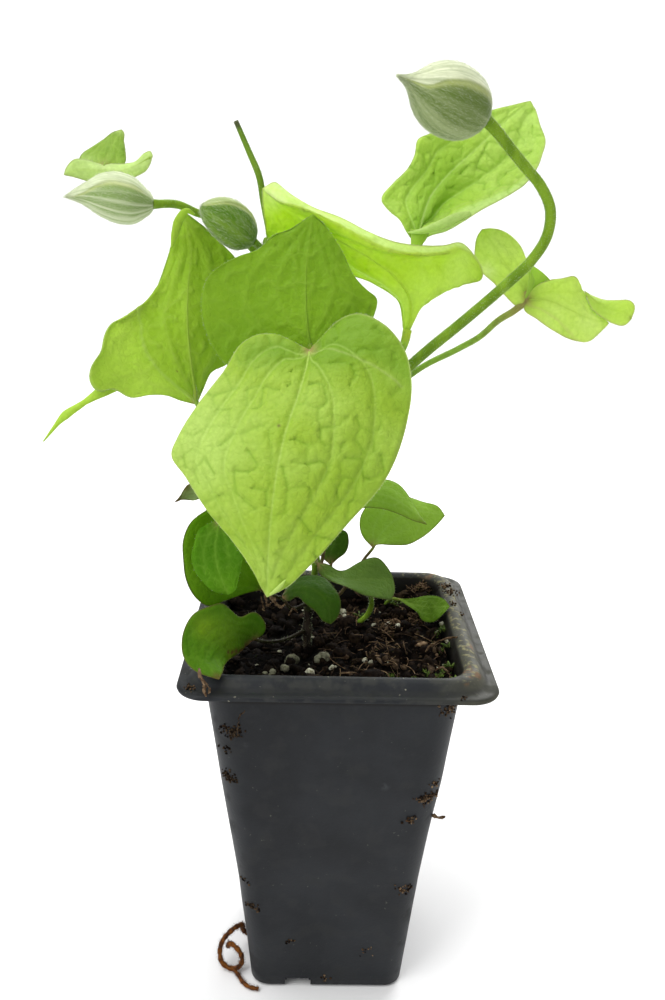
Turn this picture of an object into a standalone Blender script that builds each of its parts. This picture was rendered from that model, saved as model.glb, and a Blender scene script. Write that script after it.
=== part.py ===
# A young sunset clematis in a square nursery pot: broad pale leaves, three woolly buds and a cut shoot.
# The pot stands on z = 0 with its rim centred on the z axis. The plant's front looks to -Y.
import math
import random

import bpy
import bmesh
import numpy as np
from mathutils import Vector

# Every size and place below is in millimetres. Meshes are made in metres.
MM = 0.001

# The pot is 63.5 mm (2.5 inches) square at its rim and about 86 mm high.
POT_WALL = 0.8
CORNER_STEPS = 5
# Its outer skin from the floor up the wall and out under the rim:
# half width, height, corner radius, and how far the body hangs to the side of the rim.
POT_PROFILE = [
    (16.9, 0.0, 4.0, -0.4), (17.6, 0.7, 4.4, -0.4), (20.3, 30.0, 5.0, -0.5), (23.6, 57.0, 5.6, -0.6),
    (26.4, 83.0, 6.0, -0.8), (26.7, 84.4, 6.0, -0.5), (27.4, 85.0, 6.0, -0.2), (28.3, 84.7, 6.2, 0.0),
    (29.6, 83.3, 6.2, 0.0), (30.6, 82.8, 6.0, 0.0), (31.75, 82.7, 5.9, 0.0),
]

# A drain slot is cut low in each side: the middle of each, as x and y on the wall.
DRAIN_SLOTS = [(-7.0, -17.6), (0.0, 17.6), (17.2, 0.0), (-18.0, -3.0)]
DRAIN_WIDTH = 6.0
DRAIN_DEPTH = 3.2
DRAIN_HEIGHT = 2.6

# The soil stands about 6 mm under the rim, with a rough top.
SOIL_FLOOR = 3.2
SOIL_LEVEL = 79.6
SOIL_BUMPS = 0.8
SOIL_EDGE = 79.0
SOIL_RINGS = [0.93, 0.82, 0.70, 0.57, 0.44, 0.31, 0.18]

# Clear space left between pieces that touch.
GAP = 0.3

# The main stem twines a little as it climbs to the cut at its top.
MAIN_STEM = [
    (-6.5, 1, 67.5), (-6.5, 1, 78), (-6.5, 1, 83.5), (-6, 1, 90), (-5, 1, 97), (-5, 2, 103.5),
    (-5.5, 2.5, 112.5), (-7, 3, 123.5), (-9, 4, 134.5), (-11.5, 5, 146.5), (-13.5, 7, 157.5),
    (-15.5, 8, 166.5), (-17, 8.5, 173.5), (-18, 8, 179), (-20, 8, 183.5), (-22.5, 7, 189),
]
MAIN_RADIUS = 0.68
CUT_RADIUS = 0.5

SPROUT = [(5.5, 12, 74), (5.5, 12, 79), (7.5, 12, 81), (8.5, 11.5, 84), (8, 10.5, 87), (6.5, 9.5, 89)]
SPROUT_RADIUS = 0.6

# Flower stalks: radius, the height where each leaves the main stem, and its way from there to its bud.
BUD_STALKS = {
    "bud_stalk_large": (1.1, 124, [
        (0.5, 5, 129), (6.5, 6, 134), (11.5, 6.5, 139), (18, 7.5, 145), (24, 8.5, 150), (30.5, 10, 155.5),
        (35, 11, 159.5), (39, 11.5, 163.5), (42, 11.5, 169), (42, 11, 174), (39.5, 10.5, 178.5),
        (36, 10, 182), (32, 9.5, 186), (29.5, 9, 188.5)]),
    "bud_stalk_left": (0.8, 163, [
        (-20, 8, 165.5), (-23.5, 7.5, 168.5), (-26.5, 6.5, 170.5), (-30, 5, 171.5), (-33.5, 3, 173)]),
    "bud_stalk_middle": (0.7, 166.5, [(-16.5, 5, 165)]),
}
# A bud's radius along its length, both as shares of the whole: one drawn out to its point, one round
# with a short beak, and one blunt.
LONG_BUD = [
    (0.0, 0.22), (0.03, 0.38), (0.10, 0.60), (0.22, 0.90), (0.33, 0.99), (0.42, 1.0), (0.52, 0.93),
    (0.63, 0.79), (0.78, 0.46), (0.89, 0.25), (0.96, 0.12), (1.0, 0.04),
]
ROUND_BUD = [
    (0.0, 0.25), (0.03, 0.42), (0.08, 0.62), (0.16, 0.82), (0.27, 0.96), (0.38, 1.0), (0.50, 0.98),
    (0.61, 0.87), (0.70, 0.70), (0.77, 0.50), (0.83, 0.32), (0.89, 0.18), (0.95, 0.09), (1.0, 0.03),
]
BLUNT_BUD = [
    (0.0, 0.24), (0.03, 0.42), (0.10, 0.66), (0.22, 0.90), (0.36, 1.0), (0.52, 0.99), (0.68, 0.90),
    (0.80, 0.74), (0.90, 0.52), (0.96, 0.32), (1.0, 0.12),
]
# Buds: the stalk that carries each, its base, its tip, its greatest radius, how far it arches up
# between base and tip, and its shape.
BUDS = {
    "bud_large": ("bud_stalk_large", (26.5, 8, 191), (8.5, -1, 197), 6.8, 0.0, ROUND_BUD),
    "bud_left": ("bud_stalk_left", (-38, 0.5, 173), (-54.5, -1, 174), 4.75, 0.7, LONG_BUD),
    "bud_middle": ("bud_stalk_middle", (-18.5, 1, 166.5), (-28.5, -1.5, 173), 4.2, 0.4, BLUNT_BUD),
}
BUD_SIDES = 20
BUD_RIDGE = 0.05
# Makes share**2 * (1 - share) reach 1 where a bud arches most, two thirds of the way along.
ARCH_FORM = 6.75

LEAF_THICKNESS = 0.7
STALK_RADIUS = 0.6
# Shares of a guide line's length where a blade's first and last full rows lie.
FIRST_ROW = 0.07
LAST_ROW = 0.95

# A blade hangs on three guide lines from its joint to its tip: the midrib and its two edges.
# "facets" is its rows and columns. "stalk" is the stalk's way from the joint, and "height" is
# where that stalk meets the main stem.
LEAVES = {
    "leaf_front": {
        "joint": (-7, -10, 147), "tip": (-14, -30.5, 104), "facets": (20, 8),
        "rib": [
            (-7.5, -13, 144.5), (-9, -17.5, 139.5), (-11, -21.5, 134), (-12.5, -25, 127), (-13.5, -28, 118.5)],
        "left": [
            (-9.5, -9, 148), (-13, -8.5, 149.5), (-17, -8.5, 149.5), (-20.5, -9.5, 147.5), (-23, -11, 143.5),
            (-28, -14, 137), (-32, -17, 130.5), (-33, -18, 128), (-30, -20.5, 124), (-25.5, -24, 118.5),
            (-20.5, -27, 113.5), (-16.5, -29.5, 108.5)],
        "right": [
            (-5, -9, 148), (-3, -8, 151.5), (1.5, -8, 154), (7.5, -10, 152), (11.5, -12, 147),
            (12.5, -14.5, 142.5), (11.5, -18, 134), (7.5, -22.5, 124.5), (1, -26, 117.5), (-6, -29, 110),
            (-11, -30.5, 105.5)],
        "stalk": [(-6.5, -7.5, 144.5), (-7, -2, 140)], "height": 137,
    },
    "leaf_standing": {
        "joint": (-6.5, -5.5, 145.5), "tip": (-7, -2, 172), "facets": (18, 8),
        "rib": [(-7.5, -5.5, 150), (-8, -5, 156), (-8, -4, 163), (-7.5, -3, 167.5)],
        "left": [
            (-10.5, -5, 143.5), (-18, -4.5, 141), (-24, -4, 143), (-27.5, -3.5, 148.5), (-28.5, -3.5, 155),
            (-27, -4, 160), (-22, -4, 163.5), (-17, -3.5, 165.5), (-14.5, -3.5, 168), (-11.5, -3, 169),
            (-8.5, -2.5, 171)],
        "right": [
            (-2, -5, 145), (2.5, -4, 147.5), (5.5, -3.5, 153), (6, -3, 156.5), (4, -3, 158), (1.5, -3, 160.5),
            (-1, -2.5, 165), (-3, -2.5, 168), (-5, -2, 170.5)],
        "stalk": [(-7.5, -1, 144)], "height": 142.5,
    },
    "leaf_left": {
        "joint": (-30, -2, 134), "tip": (-32.5, 1.5, 172), "facets": (20, 8),
        "rib": [(-31, -2.5, 142.5), (-31.5, -2.5, 149.5), (-31.5, -1, 157), (-31, 1, 164.5)],
        "left": [
            (-32, -2.5, 134), (-35, -4, 136), (-39, -5.5, 136.5), (-42.5, -6.5, 136), (-46, -7.5, 138),
            (-48.5, -8.5, 137.5), (-50, -9, 140), (-49.5, -9, 142.5), (-47.5, -8.5, 145.5),
            (-47, -7.5, 148.5), (-45.5, -6, 151), (-42, -4, 151.5), (-39, -1.5, 155), (-35.5, 0, 163),
            (-34, 1, 168.5)],
        "right": [
            (-28.5, -1, 137.5), (-27, 0.5, 140.5), (-24.5, 2, 141.5), (-21, 3.5, 145.5), (-20, 4.5, 152.5),
            (-20.5, 5, 158.5), (-22.5, 5, 163), (-25, 5, 165.5), (-28, 4, 168.5), (-30.5, 2.5, 170.5)],
        "stalk": [(-28, -1.5, 131.5), (-23, 0, 128.5), (-15, 2, 126)], "height": 124.5,
        "tail": [
            (-47.5, -8.5, 138.5), (-49, -9, 137.5), (-52, -9.5, 135), (-55, -10.5, 133), (-57.5, -11, 130),
            (-59, -11.5, 128)],
    },
    "leaf_arching": {
        "joint": (12.5, 5, 147), "tip": (-17, 3, 176.5), "facets": (18, 8),
        "rib": [
            (13.5, 5, 152), (13, 4, 156), (10, 3, 160), (5, 2, 163.5), (-1.5, 1.5, 167), (-8.5, 1.5, 170.5),
            (-13.5, 2.5, 173.5)],
        "left": [
            (12, 5.5, 151), (11, 6, 155), (7.5, 6, 157.5), (4.5, 6, 159), (1, 6, 160), (-5.5, 5.5, 161.5),
            (-11.5, 5, 163.5), (-16, 4.5, 166.5), (-16.5, 4, 170), (-17, 3.5, 174)],
        "right": [
            (14.5, 6, 149.5), (15.5, 7, 153), (19.5, 9, 156), (25, 11, 158.5), (29.5, 13, 159.5),
            (29, 12.5, 162), (27, 11.5, 164.5), (24, 10, 167), (20, 7, 166.5), (15, 4.5, 166.5),
            (10, 3, 167), (5, 2.5, 168.5), (-1.5, 2, 171.5), (-7.5, 2, 173.5), (-12, 3, 176),
            (-16, 4, 178.5)],
        "stalk": [(11.5, 4, 144), (7.5, 3, 138.5), (0.5, 3, 130.5)], "height": 127.5,
    },
    "leaf_cupped": {
        "joint": (15, 17, 166), "tip": (40, 30, 196.5), "facets": (20, 8),
        "rib": [(16, 18, 169.5), (18, 21, 175.5), (22, 24, 180.5), (27.5, 26, 185.5), (33.5, 28, 191)],
        "left": [
            (14, 17, 167), (13, 17, 168.5), (11.5, 18, 171), (9.5, 19, 172.5), (7.5, 20, 175),
            (10, 21, 178.5), (13, 22, 181.5), (14.5, 23, 184.5), (15, 24, 187.5), (18, 25, 189),
            (22.5, 26.5, 191.5), (27.5, 28, 193), (32, 29, 194.5), (36, 29.5, 195.5)],
        "right": [
            (16.5, 16, 167), (18, 15, 168), (21, 14, 169), (24.5, 14, 171), (28.5, 15, 173.5),
            (34, 16.5, 176.5), (38, 18.5, 179), (40.5, 20.5, 182), (42, 23, 185), (43, 25, 188),
            (42, 27.5, 191.5), (41, 29.5, 195)],
        "stalk": [(15, 15, 159), (14, 13, 149.5), (11, 11.5, 141), (3, 8.5, 133)], "height": 131,
    },
    "leaf_far": {
        "joint": (40.5, 18, 155.5), "tip": (30, 22, 169.5), "facets": (12, 6),
        "rib": [(39, 18.5, 158), (36.5, 19, 161), (34, 20, 164), (32, 21, 167)],
        "left": [
            (38.5, 17, 153.5), (35, 17, 156), (32.5, 17.5, 158.5), (30, 18.5, 160.5), (28.5, 19.5, 163),
            (28.5, 20.5, 165.5), (29, 21.5, 168)],
        "right": [
            (41.5, 19, 158), (41, 20, 161), (40, 21, 163.5), (39, 22.5, 166), (37, 23, 168),
            (34, 23, 169.5)],
        "stalk": [
            (38, 17, 153), (34, 16, 150.5), (30, 15, 147), (25.5, 14, 144.5), (17, 11, 140.5),
            (9.5, 9, 134.5), (1, 6.5, 126)],
        "height": 121,
    },
    "leaf_far_outer": {
        "joint": (40, 17.5, 155), "tip": (60, 21, 150), "facets": (14, 6),
        "rib": [(44.5, 17.5, 155), (50, 18, 153), (55, 19.5, 151)],
        "left": [
            (42, 19, 157.5), (44.5, 19.5, 159), (48, 20, 159.5), (51.5, 21, 160), (53, 21.5, 157.5),
            (55, 21.5, 154.5), (57.5, 21, 152)],
        "right": [
            (39.5, 16.5, 153), (42.5, 16, 151), (46.5, 16.5, 148.5), (51, 17.5, 146.5), (55, 18.5, 146),
            (58, 20, 148)],
    },
    "leaf_far_curl": {
        "joint": (53.5, 20.5, 157), "tip": (65, 21, 151), "facets": (8, 4),
        "rib": [(56.5, 20.5, 154.5), (60, 20.5, 153), (63, 20.5, 152.5)],
        "left": [(55.5, 22, 156), (58.5, 22, 155), (61.5, 21.5, 155), (64.5, 21.5, 155), (65.5, 21.5, 154)],
        "right": [(54.5, 20.5, 155), (55.5, 20, 153), (57.5, 20, 151.5), (60.5, 20, 150), (63, 20, 149.5)],
    },
    "leaf_by_bud": {
        "joint": (-48.5, 5.5, 179.5), "tip": (-45.5, 10, 187), "facets": (8, 4),
        "rib": [(-48, 7, 181.5), (-47, 9, 184.5)],
        "left": [
            (-51.5, 6, 180), (-53.5, 6.5, 181), (-53, 7, 182), (-51, 8, 183.5), (-49, 9, 185), (-47, 9.5, 186.5)],
        "right": [(-46, 6.5, 179.5), (-44.5, 7, 180.5), (-44.5, 8, 183), (-45, 9.5, 185), (-45, 10, 186.5)],
        "stalk": [(-47, 7, 177.5), (-43.5, 7, 175), (-39.5, 6, 173.5)], "height": None,
    },
    "leaf_by_bud_lip": {
        "joint": (-38.5, 4.5, 182), "tip": (-56, 4, 178), "facets": (14, 4),
        "rib": [(-41, 4.5, 180.5), (-45, 5, 179), (-49.5, 5, 179), (-53, 4.5, 179)],
        "left": [
            (-39, 5.5, 183), (-40.5, 6, 182.5), (-42, 6.5, 181), (-44.5, 6.5, 180.5), (-49, 6.5, 180.5),
            (-52, 6, 181), (-54, 5, 181), (-55.5, 4.5, 179.5)],
        "right": [(-39.5, 4, 179.5), (-42, 4.5, 178), (-45.5, 5, 176.5), (-50, 5, 176.5), (-53.5, 4.5, 177.5)],
    },
    "leaf_dark_upper": {
        "joint": (-16.5, -4, 94), "tip": (-26.5, -13.5, 115.5), "facets": (12, 6),
        "rib": [(-19.5, -8, 99), (-22.5, -11, 104.5), (-25.5, -13, 111)],
        "left": [
            (-19.5, -8, 95), (-23.5, -12, 95), (-27, -15, 95), (-29, -16, 97), (-31, -16.5, 101.5),
            (-31.5, -16, 105.5), (-31.5, -15.5, 109.5), (-30, -14.5, 113)],
        "right": [(-15, -5, 97.5), (-16, -7.5, 103.5), (-19, -10, 110), (-23, -12.5, 114.5)],
        "stalk": [(-12.5, -2, 91.5)], "height": 91,
    },
    "leaf_dark_inner": {
        "joint": (-24, -16, 114), "tip": (-22.5, -17, 98.5), "facets": (12, 6),
        "rib": [(-24.5, -16.5, 112), (-25, -17, 108.5), (-24.5, -17.5, 104.5), (-23.5, -17.5, 101.5)],
        "left": [
            (-26, -16.5, 113.5), (-28, -17.5, 112.5), (-29, -18, 109.5), (-29.5, -18.5, 107),
            (-29, -18.5, 104.5), (-27.5, -18.5, 102), (-25, -18, 99.5)],
        "right": [
            (-22.5, -16, 112.5), (-20, -16, 109.5), (-19.5, -16, 106.5), (-20, -16, 104),
            (-20.5, -16.5, 101.5), (-21, -17, 99.5)],
        "stalk": [(-21.5, -15, 115.5), (-16.5, -12, 117), (-10, -5, 116)], "height": 114,
    },
    "leaf_over_rim": {
        "joint": (-17.5, -14, 87), "tip": (-23, -31, 87), "facets": (16, 6),
        "rib": [(-19.5, -17, 89.5), (-22, -21, 91.5), (-25, -25, 91), (-26, -27.5, 89.5)],
        "left": [
            (-16, -14, 87.5), (-15, -13.5, 90), (-16, -14, 92.5), (-17.5, -15, 94), (-20, -17, 93.5),
            (-22, -18.5, 96), (-23.5, -20, 98), (-26, -22, 98), (-28.5, -24, 97.5), (-30, -26, 95.5),
            (-30.5, -27.5, 93), (-30, -29, 90.5), (-27, -30.5, 88), (-24.5, -31, 87.5)],
        "right": [
            (-19, -15.5, 86.5), (-19.5, -17.5, 86.5), (-21.5, -21, 86.5), (-22.5, -25, 87),
            (-22.5, -28.5, 87.5)],
        "stalk": [(-15, -9.5, 84.5), (-11, -4, 82.5)], "height": 82.4,
    },
    "leaf_right_upper": {
        "joint": (3, 8, 111), "tip": (19.5, 4, 107), "facets": (12, 4),
        "rib": [(6.5, 7, 113), (10, 6, 113), (14.5, 5, 111)],
        "left": [
            (4, 9, 113.5), (7.5, 9.5, 115), (11, 9.5, 115.5), (13.5, 9, 114.5), (15.5, 7.5, 112.5),
            (17, 6, 110)],
        "right": [(4.5, 7, 109.5), (6.5, 6, 110), (10, 5, 110), (13.5, 4.5, 109), (16, 4, 108)],
        "stalk": [(1, 8, 109), (-1.5, 6.5, 104.5), (-3, 4, 101)], "height": 98,
    },
    "leaf_right_lower": {
        "joint": (8, 9, 99.5), "tip": (25, 15, 105.5), "facets": (12, 6),
        "rib": [(10, 10, 102.5), (13, 11, 105.5), (17.5, 12.5, 107)],
        "left": [
            (5.5, 10.5, 102), (5, 12, 105), (6.5, 13, 108), (11, 14, 109.5), (15.5, 15, 110),
            (20, 15.5, 108.5), (23.5, 15.5, 107.5)],
        "right": [(9, 8, 100.5), (12, 8, 100.5), (16, 8.5, 100.5), (19, 10, 101.5), (22.5, 12.5, 103.5)],
        "stalk": [(6.5, 8, 97.5), (4.5, 6, 95), (0, 3.5, 89.5)], "height": 87.5,
    },
    "leaf_right_mid": {
        "joint": (-4.5, -2.5, 100), "tip": (12, 0, 90.5), "facets": (12, 6),
        "rib": [(-1.5, -2, 97.5), (2.5, -1, 95.5), (7, 1, 95), (11.5, 2, 93.5)],
        "left": [
            (-2.5, -1.5, 99.5), (0, -0.5, 97.5), (2, 1.5, 97), (4.5, 3, 98), (9, 4, 99), (11, 4, 97),
            (12.5, 3.5, 94.5), (13, 2, 92)],
        "right": [(-4.5, -3, 98.5), (-2, -4, 96.5), (1.5, -4.5, 95.5), (5, -4, 93.5), (8.5, -2.5, 92)],
        "stalk": [], "height": 99.5,
    },
    "leaf_crown": {
        "joint": (-12, -5, 93), "tip": (-1.5, -13, 90.5), "facets": (12, 6),
        "rib": [(-9, -7, 96), (-5.5, -9.5, 97), (-2.5, -12, 95)],
        "left": [
            (-11, -4, 95), (-9, -4, 97), (-6, -4.5, 98), (-3, -6, 98), (-1, -8.5, 97), (0.5, -11, 94.5),
            (0, -12.5, 92)],
        "right": [(-11, -6, 92.5), (-8.5, -8.5, 94.5), (-7, -10.5, 94), (-4.5, -12, 92.5), (-3, -13, 91)],
        "stalk": [(-10.5, -4.5, 90.5)], "height": 89,
    },
    "leaf_on_soil": {
        "joint": (15.5, 19, 82.5), "tip": (26, 5, 87), "facets": (10, 4),
        "rib": [(18.5, 15, 83), (21.5, 10, 84.5)],
        "left": [(18.5, 16, 84), (21, 14, 85.5), (23, 11, 87), (25, 8, 87.5)],
        "right": [(17.5, 15, 82.5), (19.5, 11, 82.5), (20.5, 7.5, 82), (22.5, 6, 82.5), (24, 4, 85)],
        "stalk": [(14, 20, 82), (12.7, 20.5, 80.5), (12.2, 20.5, 77.5)], "height": None,
    },
    "leaf_back_small": {
        "joint": (-1.5, 5, 96.5), "tip": (0.5, 8.5, 104), "facets": (8, 4),
        "rib": [(-1.5, 6, 99), (-0.5, 7.5, 101.5)],
        "left": [(-3.5, 6, 98), (-5, 7.5, 99.5), (-3.5, 8.5, 102), (-1, 9, 104)],
        "right": [(0, 5, 98), (2, 6, 99.5), (2.5, 7, 102), (2, 8, 103.5)],
        "stalk": [(-2, 4, 95.5)], "height": 93.5,
    },
    "leaf_dry": {
        "joint": (-26.5, -6, 117), "tip": (-34, -8.5, 115), "facets": (8, 4),
        "rib": [(-29, -6.5, 116.5), (-31.5, -7.5, 116.5)],
        "left": [(-28.5, -6.5, 115.5), (-31, -7, 115), (-32.5, -8, 115.5)],
        "right": [(-28.5, -6, 118), (-30, -6.5, 118.5), (-31.5, -7, 118.5), (-32.5, -8, 117)],
        "stalk": [(-21, -3, 117), (-14, 0.5, 117)], "height": 118.5,
    },
}
# The far leaf is twisted into three folds and the one behind the left bud into two. Each grew as one blade.
FOLDS = {"leaf_far": ["leaf_far_outer", "leaf_far_curl"], "leaf_by_bud": ["leaf_by_bud_lip"]}

# A root came out of the drain slot on the left, curled up beside the pot and sent a branch along it.
ROOT_LOOP = [
    (-16.2, -2.5, 1.3), (-18.6, -3.2, 1.6), (-20.4, -4.6, 4), (-20.9, -7.5, 8.4), (-22.5, -9.5, 9),
    (-24.9, -11, 7), (-25.6, -11.8, 4.2), (-25, -12.6, 2), (-23.2, -13.2, 0.9), (-21, -13.4, 1.5),
    (-20.2, -13.4, 3.8), (-21.2, -12.8, 6), (-23, -11.6, 6.6), (-23.8, -10, 4.4),
]
ROOT_BRANCH = [(-22.5, -13.3, 1), (-21, -15, 0.7), (-19.8, -17, 0.6), (-18.2, -18.4, 0.6), (-16, -19, 0.6)]
ROOT_RADIUS = 0.55
BRANCH_RADIUS = 0.45

PLASTIC = ("pot_plastic", (0.035, 0.037, 0.041), 0.5)
EARTH = ("potting_soil", (0.022, 0.014, 0.009), 0.95)
STEM = ("stem_green", (0.16, 0.30, 0.05), 0.5)
WOOL = ("bud_wool", (0.42, 0.50, 0.33), 0.8)
ROOT = ("root_brown", (0.20, 0.06, 0.01), 0.7)
PALE_LEAF = ("leaf_pale", (0.40, 0.62, 0.09), 0.5)
MID_LEAF = ("leaf_mid", (0.21, 0.40, 0.03), 0.5)
DARK_LEAF = ("leaf_dark", (0.07, 0.18, 0.012), 0.5)
PALE_LEAVES = ["leaf_front", "leaf_arching", "leaf_cupped", "leaf_far", "leaf_by_bud"]
MID_LEAVES = ["leaf_standing", "leaf_left"]


def clear_scene():
    for item in list(bpy.data.objects):
        bpy.data.objects.remove(item, do_unlink=True)


def make_collection(name):
    collection = bpy.data.collections.new(name)
    bpy.context.scene.collection.children.link(collection)
    return collection


def make_material(name, colour, roughness):
    """The material of this name, made the first time it is asked for."""
    material = bpy.data.materials.get(name)
    if material is None:
        material = bpy.data.materials.new(name)
        material.use_nodes = True
        shader = material.node_tree.nodes["Principled BSDF"]
        shader.inputs["Base Color"].default_value = (*colour, 1.0)
        shader.inputs["Roughness"].default_value = roughness
        shader.inputs["Metallic"].default_value = 0.0
    return material


def new_object(name, mesh):
    item = bpy.data.objects.new(name, mesh)
    bpy.context.scene.collection.objects.link(item)
    return item


def object_from(name, shape):
    """An object from a bmesh, which is used up."""
    mesh = bpy.data.meshes.new(name)
    shape.to_mesh(mesh)
    shape.free()
    return new_object(name, mesh)


def bake(item, name):
    """The object with its modifiers applied, as a welded mesh."""
    bpy.context.view_layer.update()
    seen = item.evaluated_get(bpy.context.evaluated_depsgraph_get())
    mesh = bpy.data.meshes.new_from_object(seen)
    bpy.data.objects.remove(item, do_unlink=True)
    shape = bmesh.new()
    shape.from_mesh(mesh)
    bpy.data.meshes.remove(mesh)
    bmesh.ops.remove_doubles(shape, verts=shape.verts, dist=1e-6)
    bmesh.ops.recalc_face_normals(shape, faces=shape.faces)
    return object_from(name, shape)


def fuse(name, base, others):
    """Join solids into one body by a Boolean union."""
    group = bpy.data.collections.new("to_join")
    for other in others:
        group.objects.link(other)
    join = base.modifiers.new("join", "BOOLEAN")
    join.operation = "UNION"
    join.solver = "EXACT"
    join.operand_type = "COLLECTION"
    join.collection = group
    solid = bake(base, name)
    for other in others:
        bpy.data.objects.remove(other, do_unlink=True)
    bpy.data.collections.remove(group)
    return solid


def cut(name, base, cutter):
    """Cut one solid out of another."""
    hole = base.modifiers.new("hole", "BOOLEAN")
    hole.operation = "DIFFERENCE"
    hole.solver = "EXACT"
    hole.object = cutter
    solid = bake(base, name)
    bpy.data.objects.remove(cutter, do_unlink=True)
    return solid


def thicken(item, thickness, offset):
    solid = item.modifiers.new("thickness", "SOLIDIFY")
    solid.thickness = thickness * MM
    solid.offset = offset
    solid.use_even_offset = offset != 0.0


def spline(points, knots, at):
    """A smooth curve through points, with slopes from their neighbours, read at the given knots."""
    step = np.diff(knots)[:, None]
    slope = np.diff(points, axis=0) / step
    tangent = np.empty_like(points)
    tangent[0] = slope[0]
    tangent[-1] = slope[-1]
    tangent[1:-1] = (slope[:-1] * step[1:] + slope[1:] * step[:-1]) / (step[1:] + step[:-1])
    cell = np.clip(np.searchsorted(knots, at, side="right") - 1, 0, len(knots) - 2)
    width = step[cell]
    t = (at - knots[cell])[:, None] / width
    return ((2 * t**3 - 3 * t**2 + 1) * points[cell] + (t**3 - 2 * t**2 + t) * width * tangent[cell]
            + (3 * t**2 - 2 * t**3) * points[cell + 1] + (t**3 - t**2) * width * tangent[cell + 1])


def distances(points):
    """Distance along a line at each of its points."""
    return np.concatenate([[0.0], np.cumsum(np.linalg.norm(np.diff(points, axis=0), axis=1))])


def smooth_line(points, shares):
    """The smooth line through points, read at shares of its length."""
    points = np.array([tuple(point) for point in points], dtype=float)
    knots = distances(points)
    fine = spline(points, knots, np.linspace(0.0, knots[-1], 300))
    run = distances(fine)
    return np.stack([np.interp(shares * run[-1], run, fine[:, axis]) for axis in range(3)], axis=1)


def blade(name):
    """A leaf blade: an open sheet of triangles across its guide lines, thickened to both sides."""
    leaf = LEAVES[name]
    rows, columns = leaf["facets"]
    shares = np.concatenate([[0.0], np.linspace(FIRST_ROW, LAST_ROW, rows - 1), [1.0]])
    guides = np.array([smooth_line([leaf["joint"], *leaf[guide], leaf["tip"]], shares)
                       for guide in ("left", "rib", "right")])
    knots = np.array([-1.0, 0.0, 1.0])
    across = np.linspace(-1.0, 1.0, columns + 1)
    sheet = bmesh.new()
    joint = sheet.verts.new(guides[1][0] * MM)
    lines = [[sheet.verts.new(point * MM) for point in spline(guides[:, row], knots, across)]
             for row in range(1, rows)]
    tip = sheet.verts.new(guides[1][-1] * MM)
    for column in range(columns):
        sheet.faces.new((joint, lines[0][column + 1], lines[0][column]))
        sheet.faces.new((tip, lines[-1][column], lines[-1][column + 1]))
        for near, far in zip(lines[:-1], lines[1:]):
            sheet.faces.new((near[column], near[column + 1], far[column + 1]))
            sheet.faces.new((near[column], far[column + 1], far[column]))
    item = object_from(name, sheet)
    thicken(item, LEAF_THICKNESS, 0.0)
    return bake(item, name)


def tube(name, points, radius, end_radius, rings, sides):
    """A round stem along the smooth line through points."""
    line = smooth_line(points, np.linspace(0.0, 1.0, rings))
    curve = bpy.data.curves.new(name, "CURVE")
    curve.dimensions = "3D"
    curve.bevel_depth = radius * MM
    curve.bevel_resolution = (sides - 4) // 2
    curve.use_fill_caps = True
    path = curve.splines.new("POLY")
    path.points.add(rings - 1)
    thinner = np.linspace(1.0, end_radius / radius, rings)
    for point, place, share in zip(path.points, line, thinner):
        point.co = (*(place * MM), 1.0)
        point.radius = share
    return bake(new_object(name, curve), name)


def stem_at(height):
    """Place and direction of the main stem's centre line at a height."""
    for low, high in zip(MAIN_STEM[:-1], MAIN_STEM[1:]):
        if low[2] <= height <= high[2]:
            part = (height - low[2]) / (high[2] - low[2])
            low, high = Vector(low), Vector(high)
            return low.lerp(high, part), (high - low).normalized()


def seat(height, towards, radius):
    """The last two points of a stalk that meets the main stem square on, just off its skin."""
    axis, along = stem_at(height)
    out = Vector(towards) - axis
    out -= along * out.dot(along)
    out.normalize()
    skin = axis + out * (MAIN_RADIUS + GAP + 0.25 * radius)
    return [skin + out, skin]


def square_ring(half, height, corner, shift):
    """A square with rounded corners, seen from above anticlockwise."""
    points = []
    for quarter in range(4):
        side_x = 1 if quarter in (0, 3) else -1
        side_y = 1 if quarter in (0, 1) else -1
        for step in range(CORNER_STEPS + 1):
            angle = (quarter + step / CORNER_STEPS) * math.pi / 2
            points.append(Vector((side_x * (half - corner) + corner * math.cos(angle) + shift,
                                  side_y * (half - corner) + corner * math.sin(angle), height)))
    return points


def loft(shape, rings):
    """Faces between rings that have the same number of points."""
    loops = [[shape.verts.new(point * MM) for point in points] for points in rings]
    for low, high in zip(loops[:-1], loops[1:]):
        for index in range(len(low)):
            after = (index + 1) % len(low)
            shape.faces.new((low[index], low[after], high[after], high[index]))
    return loops


def drain_slot(x, y):
    """A box that cuts a slot through the foot of one wall."""
    length = 2 * DRAIN_DEPTH
    width = (DRAIN_WIDTH, length) if abs(y) > abs(x) else (length, DRAIN_WIDTH)
    shape = bmesh.new()
    bmesh.ops.create_cube(shape, size=1.0)
    bmesh.ops.scale(shape, verts=shape.verts, vec=Vector((*width, 2 * DRAIN_HEIGHT)) * MM)
    bmesh.ops.translate(shape, verts=shape.verts, vec=Vector((x, y, 0.0)) * MM)
    return object_from("slot", shape)


def make_pot():
    """One sheet from the floor up the wall and out over the rim, thickened inwards and slotted."""
    sheet = bmesh.new()
    loops = loft(sheet, [square_ring(*station) for station in POT_PROFILE])
    sheet.faces.new(list(reversed(loops[0])))
    item = object_from("pot", sheet)
    thicken(item, POT_WALL, -1.0)
    item = bake(item, "pot")
    for x, y in DRAIN_SLOTS:
        item = cut("pot", item, drain_slot(x, y))
    return item


def pot_at(height):
    """Half width, height, corner radius and shift of the pot's outer skin at a height on its wall."""
    for low, high in zip(POT_PROFILE[:-1], POT_PROFILE[1:]):
        if low[1] <= height <= high[1]:
            part = (height - low[1]) / (high[1] - low[1])
            return [a + part * (b - a) for a, b in zip(low, high)]


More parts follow.
